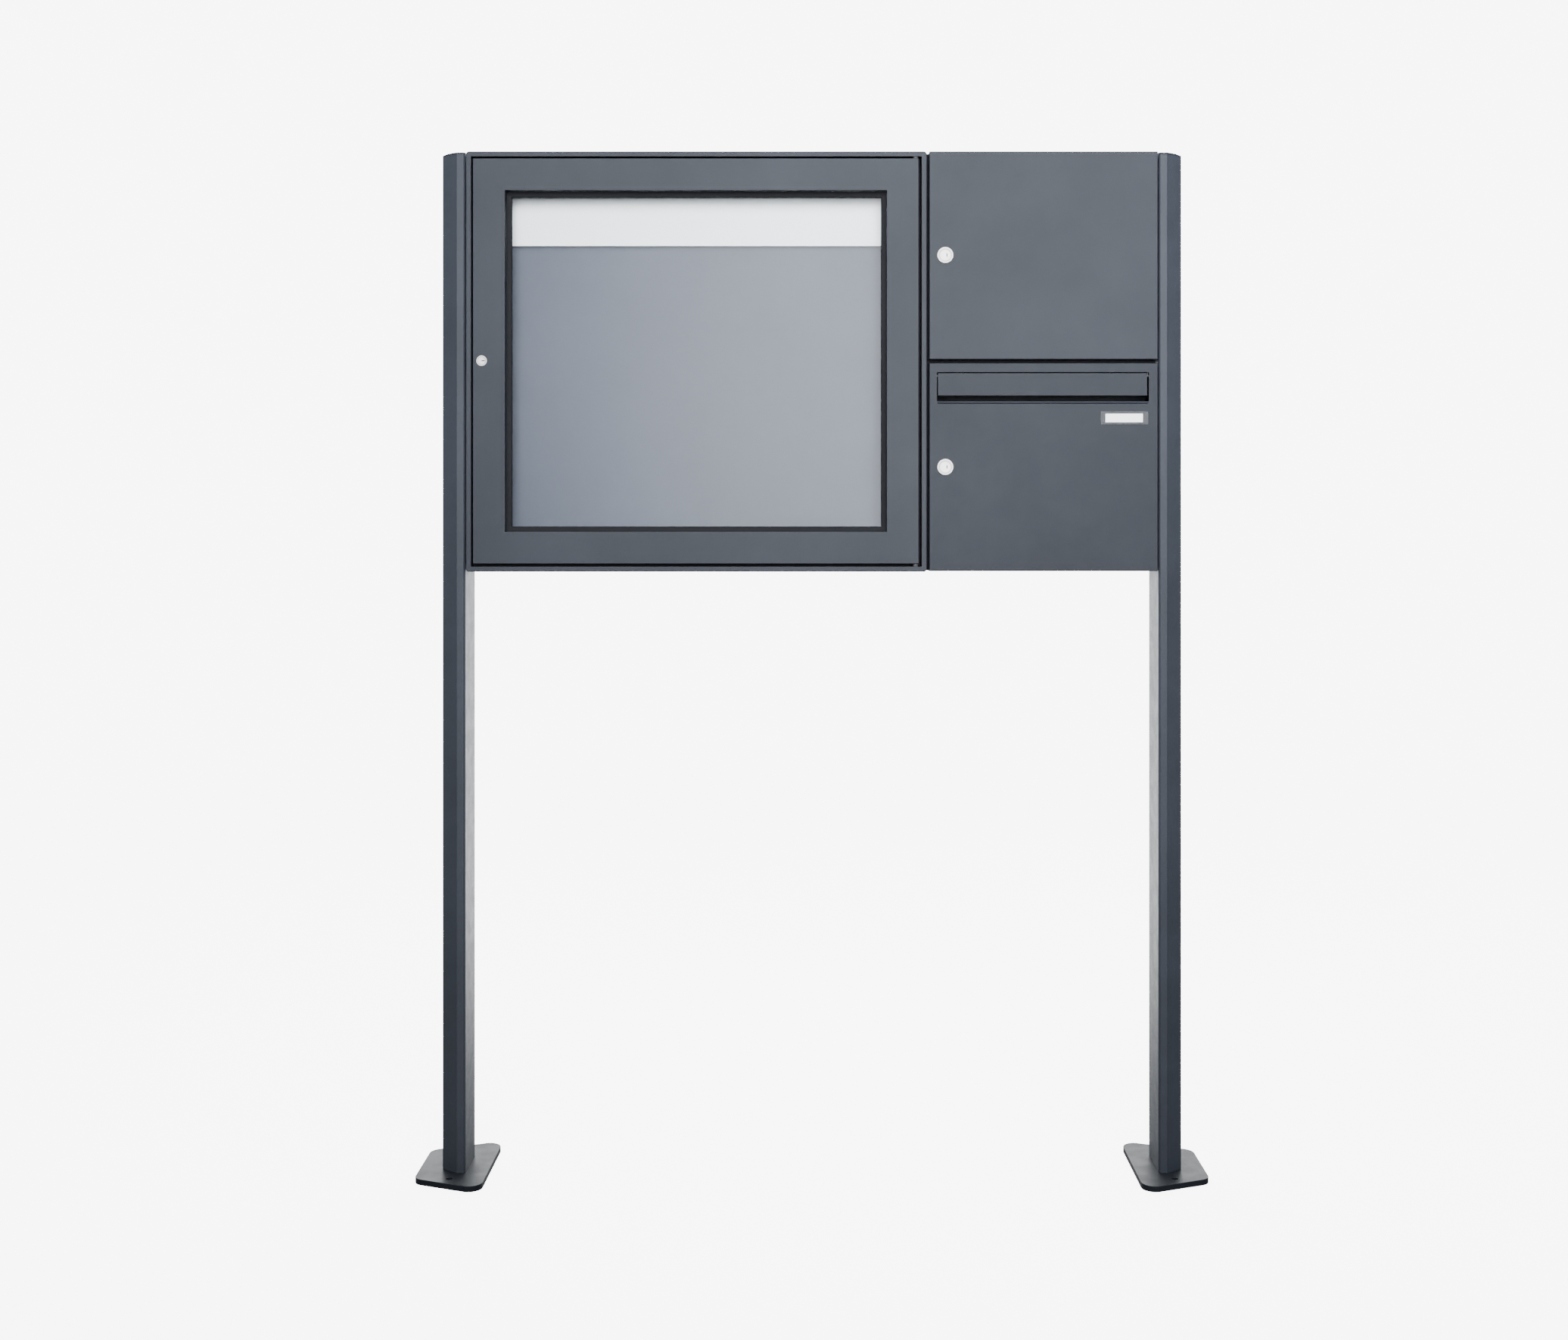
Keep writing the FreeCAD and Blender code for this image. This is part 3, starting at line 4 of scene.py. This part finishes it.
import bmesh
import bpy
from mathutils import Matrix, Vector


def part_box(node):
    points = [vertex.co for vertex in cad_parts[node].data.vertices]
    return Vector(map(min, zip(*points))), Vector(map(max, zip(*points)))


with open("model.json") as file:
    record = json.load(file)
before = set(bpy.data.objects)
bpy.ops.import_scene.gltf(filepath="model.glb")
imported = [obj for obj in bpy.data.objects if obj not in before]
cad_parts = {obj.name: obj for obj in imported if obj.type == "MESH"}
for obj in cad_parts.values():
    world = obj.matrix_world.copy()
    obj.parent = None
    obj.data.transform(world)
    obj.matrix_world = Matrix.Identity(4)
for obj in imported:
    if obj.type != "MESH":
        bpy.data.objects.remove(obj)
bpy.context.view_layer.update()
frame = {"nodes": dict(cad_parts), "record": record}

# A mailbox unit between two posts, in a pale studio. The CAD nodes hold its whole shape: this
# script gives them their finishes and soft edges, and adds the floor, the light and the camera.

NODES = frame["nodes"]
MM = 0.001

# Coats and metal, as linear red, green and blue
ANTHRACITE = (0.0146, 0.0176, 0.0244)
LOWER_TONE_PAINTED_SHADE = (0.0113, 0.0138, 0.0198)       # the letterbox door and its flap: the same coat darkened as painted shade
# posts: the same anthracite coat made lighter, as painted light
POST_TONE_PAINTED_LIGHT = (0.0205, 0.0245, 0.0330)
# base plates: the same anthracite coat made darker, as painted shade
PLATE_TONE_PAINTED_SHADE = (0.0100, 0.0120, 0.0155)
PALE_NICKEL = (0.95, 0.945, 0.93)
# near black, painted into the keyways and recesses of the locks as shade
KEYWAY_PAINTED_SHADE = (0.02, 0.02, 0.02)

# Locks
LOCK_METALLIC = 0.6                         # a pale satin plating scatters much of its light
PLUG_RECESS = 0.25 * MM                     # metal further back than this gets the keyway's painted shade
BODY_RECESS = 3.0 * MM
RECESS_FADE = 1.0 * MM
SHADE_RING_START = (0.58, 0.72)                   # the ring of painted shade round the plug, as shares of the rim
SHADE_RING_END = (0.80, 0.88)

# Soft edges
WELD_DISTANCE = 0.002 * MM
BEVEL_SEGMENTS = 2
SHADING_WEIGHT = 50

# Floor
FLOOR_RADIUS = 14.0
FLOOR_SIDES = 96
FLOOR_DROP = 0.0005
FLOOR_GLOW = 6.5
SEEN_FLOOR_FADE = (1.6, 6.0)                # distances from the middle over which it disappears
MIRRORED_FLOOR_FADE = (0.1, 2.2)

# World: strengths, and the shares of a direction's depth or height over which each part sets in
BACKDROP_GLOW = 8.0
WORLD_BASE = 0.38
WORLD_FRONT = 0.18
FRONT_DEPTHS = (-0.98, -0.70)
WORLD_BACK = 4.6
BACK_DEPTHS = (0.25, 0.85)
BACK_HEIGHTS = (0.12, 0.40)
BACK_HIGH_SHARE = 0.55
WORLD_TOP = 0.5
TOP_HEIGHTS = (0.45, 0.95)
LOW_HEIGHTS = (-0.45, 0.0)
LOW_DEPTHS = (-0.3, 0.3)
LOW_DIMMING = 0.92
WORLD_GLARE = 3.7
GLARE_ANGLES = (6.0, 5.0)                   # degrees right of, and above, straight behind the camera
GLARE_COSINES = (0.955, 1.0)
LIGHT_TINT = (0.95, 0.975, 1.0)

# Camera
CAMERA_PLACE = (0.0, -2.842, 1.037)
SENSOR_WIDTH = 36.0
LENS = 40.31
SHIFT_X = -0.0178
SHIFT_Y = -0.09
CLIP_RANGE = (0.05, 100)


# ---------------------------------------------------------------- node helpers

class Tree:
    """A node tree that is filled by short calls."""

    def __init__(self, tree):
        self.tree = tree
        self.tree.nodes.clear()

    def add(self, kind, settings=None, **inputs):
        node = self.tree.nodes.new(kind)
        for name, value in (settings or {}).items():
            setattr(node, name, value)
        for name, value in inputs.items():
            self.set(node, name.replace("_", " "), value)
        return node

    def set(self, node, name, value):
        """Link a socket or a node to an input, or give the input a plain value."""
        socket = node.inputs[int(name)] if name.isdigit() else node.inputs[name]
        if isinstance(value, bpy.types.NodeSocket):
            self.tree.links.new(value, socket)
        elif isinstance(value, bpy.types.Node):
            self.tree.links.new(value.outputs[0], socket)
        else:
            socket.default_value = value

    def math(self, operation, *values):
        node = self.add("ShaderNodeMath", {"operation": operation})
        for index, value in enumerate(values):
            self.set(node, str(index), value)
        return node.outputs[0]

    def plus(self, first, second):
        return self.math("ADD", first, second)

    def times(self, first, second):
        return self.math("MULTIPLY", first, second)

    def place(self, scale=(1, 1, 1)):
        """The piece's own coordinates in metres, stretched by scale."""
        coordinates = self.add("ShaderNodeTexCoord")
        mapping = self.add("ShaderNodeMapping", Vector=coordinates.outputs["Object"], Scale=scale)
        return mapping.outputs[0]

    def noise(self, scale, detail=2.0, roughness=0.5, place=None):
        node = self.add("ShaderNodeTexNoise", Scale=scale, Detail=detail, Roughness=roughness)
        self.set(node, "Vector", place or self.place())
        return node.outputs["Fac"]

    def ramp(self, value, low, high, from_low=0.3, from_high=0.7):
        """Go smoothly from low to high while value goes from from_low to from_high.

        Most of a noise's values lie in the range that is used by default."""
        node = self.add("ShaderNodeMapRange", {"interpolation_type": "SMOOTHSTEP"})
        self.set(node, "Value", value)
        self.set(node, "From Min", from_low)
        self.set(node, "From Max", from_high)
        self.set(node, "To Min", low)
        self.set(node, "To Max", high)
        return node.outputs[0]

    def blend(self, factor, first, second):
        node = self.add("ShaderNodeMix", {"data_type": "RGBA"})
        self.set(node, "0", factor)
        self.set(node, "6", first)
        self.set(node, "7", second)
        return node.outputs[2]

    def shader_mix(self, factor, first, second):
        node = self.add("ShaderNodeMixShader")
        self.set(node, "0", factor)
        self.set(node, "1", first)
        self.set(node, "2", second)
        return node.outputs[0]

    def bump(self, height, distance, strength, normal=None):
        node = self.add("ShaderNodeBump", Height=height, Distance=distance, Strength=strength)
        if normal is not None:
            self.set(node, "Normal", normal)
        return node.outputs[0]


def rgb(r, g, b):
    return (r, g, b, 1.0)


def shade(colour, factor):
    """A colour made lighter or darker by factor."""
    return rgb(*(min(1.0, value * factor) for value in colour))


def material(name):
    made = bpy.data.materials.new(name)
    made.use_nodes = True
    tree = Tree(made.node_tree)
    return made, tree, tree.add("ShaderNodeOutputMaterial")


# ---------------------------------------------------------------- materials

def powder_coat(name, colour, roughness=0.46, grain=(1, 1, 1), painted_side_shade=False):
    """A satin powder coat: cloudy tone, fine orange peel, and a little speckle.

    When asked, it takes gloss off upright faces, as painted shade on the sides of the base plates."""
    made, t, out = material(name)
    cloud = t.noise(scale=5.0, detail=3.0)
    patch = t.noise(scale=38.0)
    peel = t.noise(scale=900.0, roughness=0.6, place=t.place(grain))
    speckle = t.noise(scale=3200.0, detail=1.0)
    uneven = t.plus(t.times(cloud, 0.7), t.times(patch, 0.3))
    tone = t.blend(t.ramp(uneven, 0, 1), shade(colour, 0.88), shade(colour, 1.12))
    tone = t.blend(t.ramp(speckle, 0.0, 0.18, 0.55, 0.75), tone, shade(colour, 2.0))
    rough = t.plus(t.ramp(patch, -0.035, 0.035),
                   t.ramp(peel, roughness - 0.04, roughness + 0.05))
    shader = t.add("ShaderNodeBsdfPrincipled", Base_Color=tone, Roughness=rough, IOR=1.5)
    # painted shade: upright faces reflect less, so the plates' sides look darker
    if painted_side_shade:
        normal = t.add("ShaderNodeNewGeometry").outputs["True Normal"]
        facing = t.add("ShaderNodeSeparateXYZ", Vector=normal)
        t.set(shader, "Specular IOR Level", t.ramp(facing.outputs["Z"], 0.12, 0.5, 0.3, 0.9))
    waviness = t.bump(patch, 0.6 * MM, 0.08)
    t.set(shader, "Normal", t.bump(peel, 0.12 * MM, 0.55, waviness))
    t.set(out, "Surface", shader)
    return made


def metal(name, colour, roughness, spread=0.08):
    """Plated or blackened steel, with a roughness that varies by spread in all."""
    made, t, out = material(name)
    brushed = t.noise(scale=1400.0, detail=3.0, roughness=0.6)
    cloud = t.noise(scale=60.0)
    tone = t.blend(t.ramp(cloud, 0, 1), shade(colour, 0.9), rgb(*colour))
    rough = t.plus(t.ramp(brushed, roughness - spread / 2, roughness + spread / 2),
                   t.ramp(cloud, -0.03, 0.03))
    shader = t.add("ShaderNodeBsdfPrincipled", Base_Color=tone, Metallic=1.0, Roughness=rough)
    t.set(shader, "Normal", t.bump(brushed, 0.04 * MM, 0.4))
    t.set(out, "Surface", shader)
    return made


def turned_metal(name, node, colour, roughness, recess, shade_ring_strength=0.0):
    """Lathe-turned metal about a lock's own axis, with painted shade where it lies recess or more
    behind its front.

    The last argument sets how dark a ring of painted shade between the plug and the rim is."""
    made, t, out = material(name)
    low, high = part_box(node)
    centre = [(low[axis] + high[axis]) / 2 for axis in range(3)]
    centre[1] = low[1]
    here = t.add("ShaderNodeVectorMath", {"operation": "SUBTRACT"})
    t.set(here, "0", t.add("ShaderNodeTexCoord").outputs["Object"])
    t.set(here, "1", centre)
    axes = t.add("ShaderNodeSeparateXYZ", Vector=here.outputs[0])
    across, behind, up = (axes.outputs[axis] for axis in "XYZ")
    radius = t.math("SQRT", t.plus(t.times(across, across), t.times(up, up)))
    lathe = t.add("ShaderNodeTexNoise", {"noise_dimensions": "1D"}, W=radius, Scale=5200.0,
                  Detail=2.0)
    rings = lathe.outputs["Fac"]
    cloud = t.noise(scale=160.0)
    tone = t.blend(t.ramp(cloud, 0, 1), shade(colour, 0.94), rgb(*colour))
    rim = (high[0] - low[0]) / 2
    # painted shade: a darker ring between the plug and the rim
    ring = t.times(t.ramp(radius, 0, 1, *(share * rim for share in SHADE_RING_START)),
                   t.ramp(radius, 1, 0, *(share * rim for share in SHADE_RING_END)))
    tone = t.blend(t.times(ring, shade_ring_strength), tone, shade(colour, 0.4))
    # painted shade: metal deeper than recess turns near black, in the keyway and the body's hollow
    depth = t.ramp(behind, 0, 1, recess, recess + RECESS_FADE)
    shader = t.add("ShaderNodeBsdfPrincipled", Metallic=LOCK_METALLIC, Anisotropic=0.6)
    tangent = t.add("ShaderNodeTangent", {"direction_type": "RADIAL", "axis": "Y"})
    t.set(shader, "Tangent", tangent)
    t.set(shader, "Base Color", t.blend(depth, tone, rgb(*KEYWAY_PAINTED_SHADE)))
    t.set(shader, "Roughness", t.ramp(rings, roughness - 0.05, roughness + 0.07))
    t.set(shader, "Normal", t.bump(rings, 0.03 * MM, 0.5))
    t.set(out, "Surface", shader)
    return made


def plain(name, colour, roughness, grain=500.0, depth=0.05 * MM, variation=0.06, ior=1.45):
    """A moulded or painted surface with a fine grain and slightly uneven tone."""
    made, t, out = material(name)
    cloud = t.noise(scale=9.0, detail=3.0)
    fine = t.noise(scale=grain, roughness=0.6)
    dark, light = shade(colour, 1 - variation), shade(colour, 1 + variation)
    tone = t.blend(t.ramp(cloud, 0, 1), dark, light)
    rough = t.ramp(fine, roughness - 0.04, roughness + 0.04)
    shader = t.add("ShaderNodeBsdfPrincipled", Base_Color=tone, Roughness=rough, IOR=ior)
    t.set(shader, "Normal", t.bump(fine, depth, 0.5))
    t.set(out, "Surface", shader)
    return made


def clear(name, tint, roughness=0.0, haze=0.0, ior=1.5, one_sided=False):
    """Clear sheet: light passes straight through, and the surface reflects by Fresnel.

    haze is the share of milky plastic, and one_sided keeps the far faces from reflecting."""
    made, t, out = material(name)
    smear = t.noise(scale=14.0, detail=3.0)
    through = t.add("ShaderNodeBsdfTransparent", Color=rgb(*tint))
    gloss = t.add("ShaderNodeBsdfGlossy", Roughness=t.ramp(smear, roughness, roughness + 0.02))
    inside = t.add("ShaderNodeNewGeometry").outputs["Backfacing"]
    # Light isn't bent in this sheet, so a far face has to reflect no more than a near face.
    # The Fresnel node inverts the index there, and this inverts it back.
    either_way = t.plus(ior, t.times(inside, 1 / ior - ior))
    mirror = t.add("ShaderNodeFresnel", IOR=either_way).outputs[0]
    if one_sided:
        mirror = t.times(mirror, t.math("SUBTRACT", 1.0, inside))
    pane = t.shader_mix(mirror, through, gloss)
    if haze:
        milky = t.add("ShaderNodeBsdfPrincipled", Base_Color=rgb(0.85, 0.86, 0.88), Roughness=0.3)
        pane = t.shader_mix(haze, pane, milky)
    t.set(out, "Surface", pane)
    return made


FINISH = {
    "powder_coat": powder_coat("Anthracite_Powder_Coat", ANTHRACITE),
    "alu_coat": powder_coat("Anthracite_Frame_Coat", ANTHRACITE),
    # the letterbox door and its flap get a darker copy of the coat, as painted shade
    "lower_coat_painted_shade": powder_coat("Anthracite_Letterbox_Coat_Painted_Shade", LOWER_TONE_PAINTED_SHADE),
    # the posts get a lighter copy of the coat, as painted light
    "post_coat_painted_light": powder_coat("Anthracite_Extrusion_Coat_Painted_Light", POST_TONE_PAINTED_LIGHT, grain=(1, 1, 0.25)),
    # the base plates get a darker copy of the coat, and painted shade on their sides
    "plate_coat_painted_shade": powder_coat("Anthracite_Plate_Coat_Painted_Shade", PLATE_TONE_PAINTED_SHADE, roughness=0.45,
                              painted_side_shade=True),
    "zinc_steel": metal("Zinc_Plated_Steel", (0.68, 0.69, 0.70), roughness=0.32, spread=0.16),
    "dark_steel": metal("Blackened_Steel", (0.045, 0.046, 0.05), roughness=0.4),
    "black_rubber": plain("Black_Rubber", (0.004, 0.0045, 0.006), roughness=0.62,
                          grain=700.0, depth=0.1 * MM, ior=1.33),
    "gasket_rubber": plain("Gasket_Rubber", (0.010, 0.0106, 0.0125), roughness=0.85,
                           grain=700.0, depth=0.1 * MM, ior=1.25),
    "bush_plastic": plain("Black_Bush_Plastic", (0.03, 0.03, 0.032), roughness=0.4, grain=600.0),
    "clear_glass": clear("Clear_Glass", (0.975, 0.98, 0.985)),
    "board_grey": plain("Grey_Board", (0.057, 0.0685, 0.096), roughness=0.55,
                        grain=1200.0, depth=0.004 * MM, variation=0.03),
    "header_white": plain("White_Header", (0.83, 0.875, 0.91), roughness=0.4,
                          grain=900.0, variation=0.01),
    "holder_plastic": clear("Clear_Plastic", (0.98, 0.985, 0.99), roughness=0.05, haze=0.02,
                            ior=1.36, one_sided=True),
    "card_white": plain("White_Card", (0.96, 0.965, 0.975), roughness=0.8,
                        grain=2500.0, depth=0.03 * MM, variation=0.02),
}
# Nodes whose finish isn't the one of their material slot
SPECIAL = {
    "left_post": "post_coat_painted_light", "right_post": "post_coat_painted_light",
    "left_base_plate": "plate_coat_painted_shade", "right_base_plate": "plate_coat_painted_shade",
    "letterbox_door_panel": "lower_coat_painted_shade", "letter_flap": "lower_coat_painted_shade",
    "glass_gasket": "gasket_rubber", "case_hinge_pins": "dark_steel",
}


def finish_of(name, slot):
    """The lock plugs and bodies are turned about their own axes. The rest share finishes."""
    if name.endswith("_lock_plug"):
        return turned_metal("Turned_Nickel_Painted_Shade_" + name, name, PALE_NICKEL, roughness=0.16,
                            recess=PLUG_RECESS)
    if name.endswith("_lock_body"):
        return turned_metal("Turned_Nickel_Painted_Shade_" + name, name, PALE_NICKEL, roughness=0.18,
                            recess=BODY_RECESS, shade_ring_strength=0.8)
    return FINISH[SPECIAL.get(name, slot)]


def finish_cad_nodes():
    for row in frame["record"]["subparts"]:
        name = row["node"]
        look = finish_of(name, row["material_slot"])
        mesh = NODES[name].data
        if not mesh.materials:
            mesh.materials.append(look)
        for index in range(len(mesh.materials)):
            mesh.materials[index] = look


def soften(names, width, angle=40):
    """Bevel the edges sharper than angle by width, in millimetres, as a coat rounds them."""
    for name in names:
        node = NODES[name]
        weld = node.modifiers.new("Join_Faces", "WELD")
        weld.merge_threshold = WELD_DISTANCE
        bevel = node.modifiers.new("Soft_Edges", "BEVEL")
        bevel.width = width * MM
        bevel.segments = BEVEL_SEGMENTS
        bevel.limit_method = "ANGLE"
        bevel.angle_limit = math.radians(angle)
        bevel.use_clamp_overlap = True
        even = node.modifiers.new("Even_Shading", "WEIGHTED_NORMAL")
        even.mode = "FACE_AREA"
        even.weight = SHADING_WEIGHT


def soften_cad_nodes():
    soften(["left_post", "right_post", "left_post_cap", "right_post_cap"], 0.5, angle=25)
    soften(["left_base_plate", "right_base_plate"], 0.5)
    soften(["display_case_frame", "display_door_frame", "upper_door_panel",
            "letterbox_door_panel", "upper_box_body", "letterbox_body", "letter_flap"], 0.3)
    soften([f"{name}_lock_{piece}" for name in ("display", "upper", "letterbox")
            for piece in ("body", "plug")], 0.22)
    soften(["nameplate_holder"], 0.4)


# ---------------------------------------------------------------- stage, light, camera

def make_floor():
    """A pale disc that is white to the camera, and dark where the coat mirrors it."""
    mesh = bpy.data.meshes.new("Studio_Floor")
    work = bmesh.new()
    bmesh.ops.create_circle(work, cap_ends=True, segments=FLOOR_SIDES, radius=FLOOR_RADIUS)
    work.to_mesh(mesh)
    work.free()
    floor = bpy.data.objects.new("Studio_Floor", mesh)
    bpy.context.scene.collection.objects.link(floor)
    floor.location.z = -FLOOR_DROP

    made, t, out = material("Studio_Floor_Paint")
    distance = t.add("ShaderNodeVectorMath", {"operation": "LENGTH"})
    t.set(distance, "0", t.add("ShaderNodeTexCoord").outputs["Object"])
    away = distance.outputs["Value"]
    grain = t.noise(scale=220.0, detail=3.0)
    dark = t.add("ShaderNodeBsdfDiffuse", Color=rgb(0.10, 0.10, 0.11))
    mirrored = t.shader_mix(t.ramp(away, 0, 1, *MIRRORED_FLOOR_FADE), dark,
                            t.add("ShaderNodeBsdfTransparent"))
    pale = t.blend(grain, rgb(0.93, 0.93, 0.93), rgb(0.97, 0.97, 0.97))
    paint = t.add("ShaderNodeAddShader")
    t.set(paint, "0", t.add("ShaderNodeBsdfDiffuse", Color=pale))
    t.set(paint, "1", t.add("ShaderNodeEmission", Color=rgb(1, 1, 1), Strength=FLOOR_GLOW))
    seen = t.shader_mix(t.ramp(away, 0, 1, *SEEN_FLOOR_FADE), paint,
                        t.add("ShaderNodeBsdfTransparent"))
    path = t.add("ShaderNodeLightPath")
    t.set(out, "Surface", t.shader_mix(path.outputs["Is Camera Ray"], mirrored, seen))
    mesh.materials.append(made)


def make_world():
    """A white backdrop to the camera. Its light is bright behind the unit and in a patch
    behind the camera, dim elsewhere, and dimmest low in front."""
    world = bpy.data.worlds.new("Studio")
    bpy.context.scene.world = world
    world.use_nodes = True
    t = Tree(world.node_tree)
    out = t.add("ShaderNodeOutputWorld")
    seen = t.add("ShaderNodeBackground", Color=rgb(1, 1, 1), Strength=BACKDROP_GLOW)
    direction = t.add("ShaderNodeTexCoord").outputs["Generated"]
    axes = t.add("ShaderNodeSeparateXYZ", Vector=direction)
    depth, height = axes.outputs["Y"], axes.outputs["Z"]
    behind = t.times(t.ramp(depth, 0.0, 1.0, *BACK_DEPTHS),
                     t.ramp(height, 1.0, BACK_HIGH_SHARE, *BACK_HEIGHTS))
    ahead = t.ramp(depth, 1.0, 0.0, *FRONT_DEPTHS)
    above = t.ramp(height, 0.0, 1.0, *TOP_HEIGHTS)
    below = t.ramp(height, 1.0, 0.0, *LOW_HEIGHTS)
    across, up = (math.radians(angle) for angle in GLARE_ANGLES)
    glare_from = (math.sin(across) * math.cos(up), -math.cos(across) * math.cos(up), math.sin(up))
    toward = t.add("ShaderNodeVectorMath", {"operation": "DOT_PRODUCT"})
    t.set(toward, "0", direction)
    t.set(toward, "1", glare_from)
    glare = t.ramp(toward.outputs["Value"], 0.0, WORLD_GLARE, *GLARE_COSINES)
    total = t.plus(glare, t.times(ahead, WORLD_FRONT))
    total = t.plus(total, t.times(behind, WORLD_BACK))
    total = t.plus(total, t.times(above, WORLD_TOP))
    total = t.plus(total, WORLD_BASE)
    in_front = t.ramp(depth, 1.0, 0.0, *LOW_DEPTHS)
    dimming = t.times(t.times(below, in_front), LOW_DIMMING)
    total = t.times(total, t.math("SUBTRACT", 1.0, dimming))
    lit = t.add("ShaderNodeBackground", Color=rgb(*LIGHT_TINT))
    t.set(lit, "Strength", total)
    path = t.add("ShaderNodeLightPath")
    t.set(out, "Surface", t.shader_mix(path.outputs["Is Camera Ray"], lit, seen))


def softbox(name, place, target, size, power, spread):
    """An area light that glossy surfaces don't mirror: their reflections come from the world."""
    data = bpy.data.lights.new(name, "AREA")
    data.shape = "RECTANGLE"
    data.size, data.size_y = size
    data.energy = power
    data.spread = math.radians(spread)
    light = bpy.data.objects.new(name, data)
    bpy.context.scene.collection.objects.link(light)
    light.location = place
    light.rotation_euler = (Vector(target) - Vector(place)).to_track_quat("-Z", "Y").to_euler()
    light.visible_glossy = False


def make_lights():
    softbox("Key_Softbox", place=(0.45, -2.5, 2.3), target=(0.40, 0, 1.70),
            size=(2.4, 1.2), power=56, spread=80)
    softbox("Fill_Softbox", place=(-0.2, -3.1, 1.5), target=(0, 0, 1.4),
            size=(2.4, 1.0), power=28, spread=75)
    softbox("Back_Softbox", place=(0.0, 2.8, 2.6), target=(0, 0, 1.0),
            size=(3.0, 1.6), power=50, spread=180)


def make_camera():
    data = bpy.data.cameras.new("Camera")
    data.sensor_width = SENSOR_WIDTH
    data.lens = LENS
    data.shift_x = SHIFT_X
    data.shift_y = SHIFT_Y
    camera = bpy.data.objects.new("Camera", data)
    bpy.context.scene.collection.objects.link(camera)
    camera.location = CAMERA_PLACE
    camera.rotation_euler = (math.radians(90), 0, 0)
    data.clip_start, data.clip_end = CLIP_RANGE
    bpy.context.scene.camera = camera


finish_cad_nodes()
soften_cad_nodes()
make_floor()
make_world()
make_lights()
make_camera()
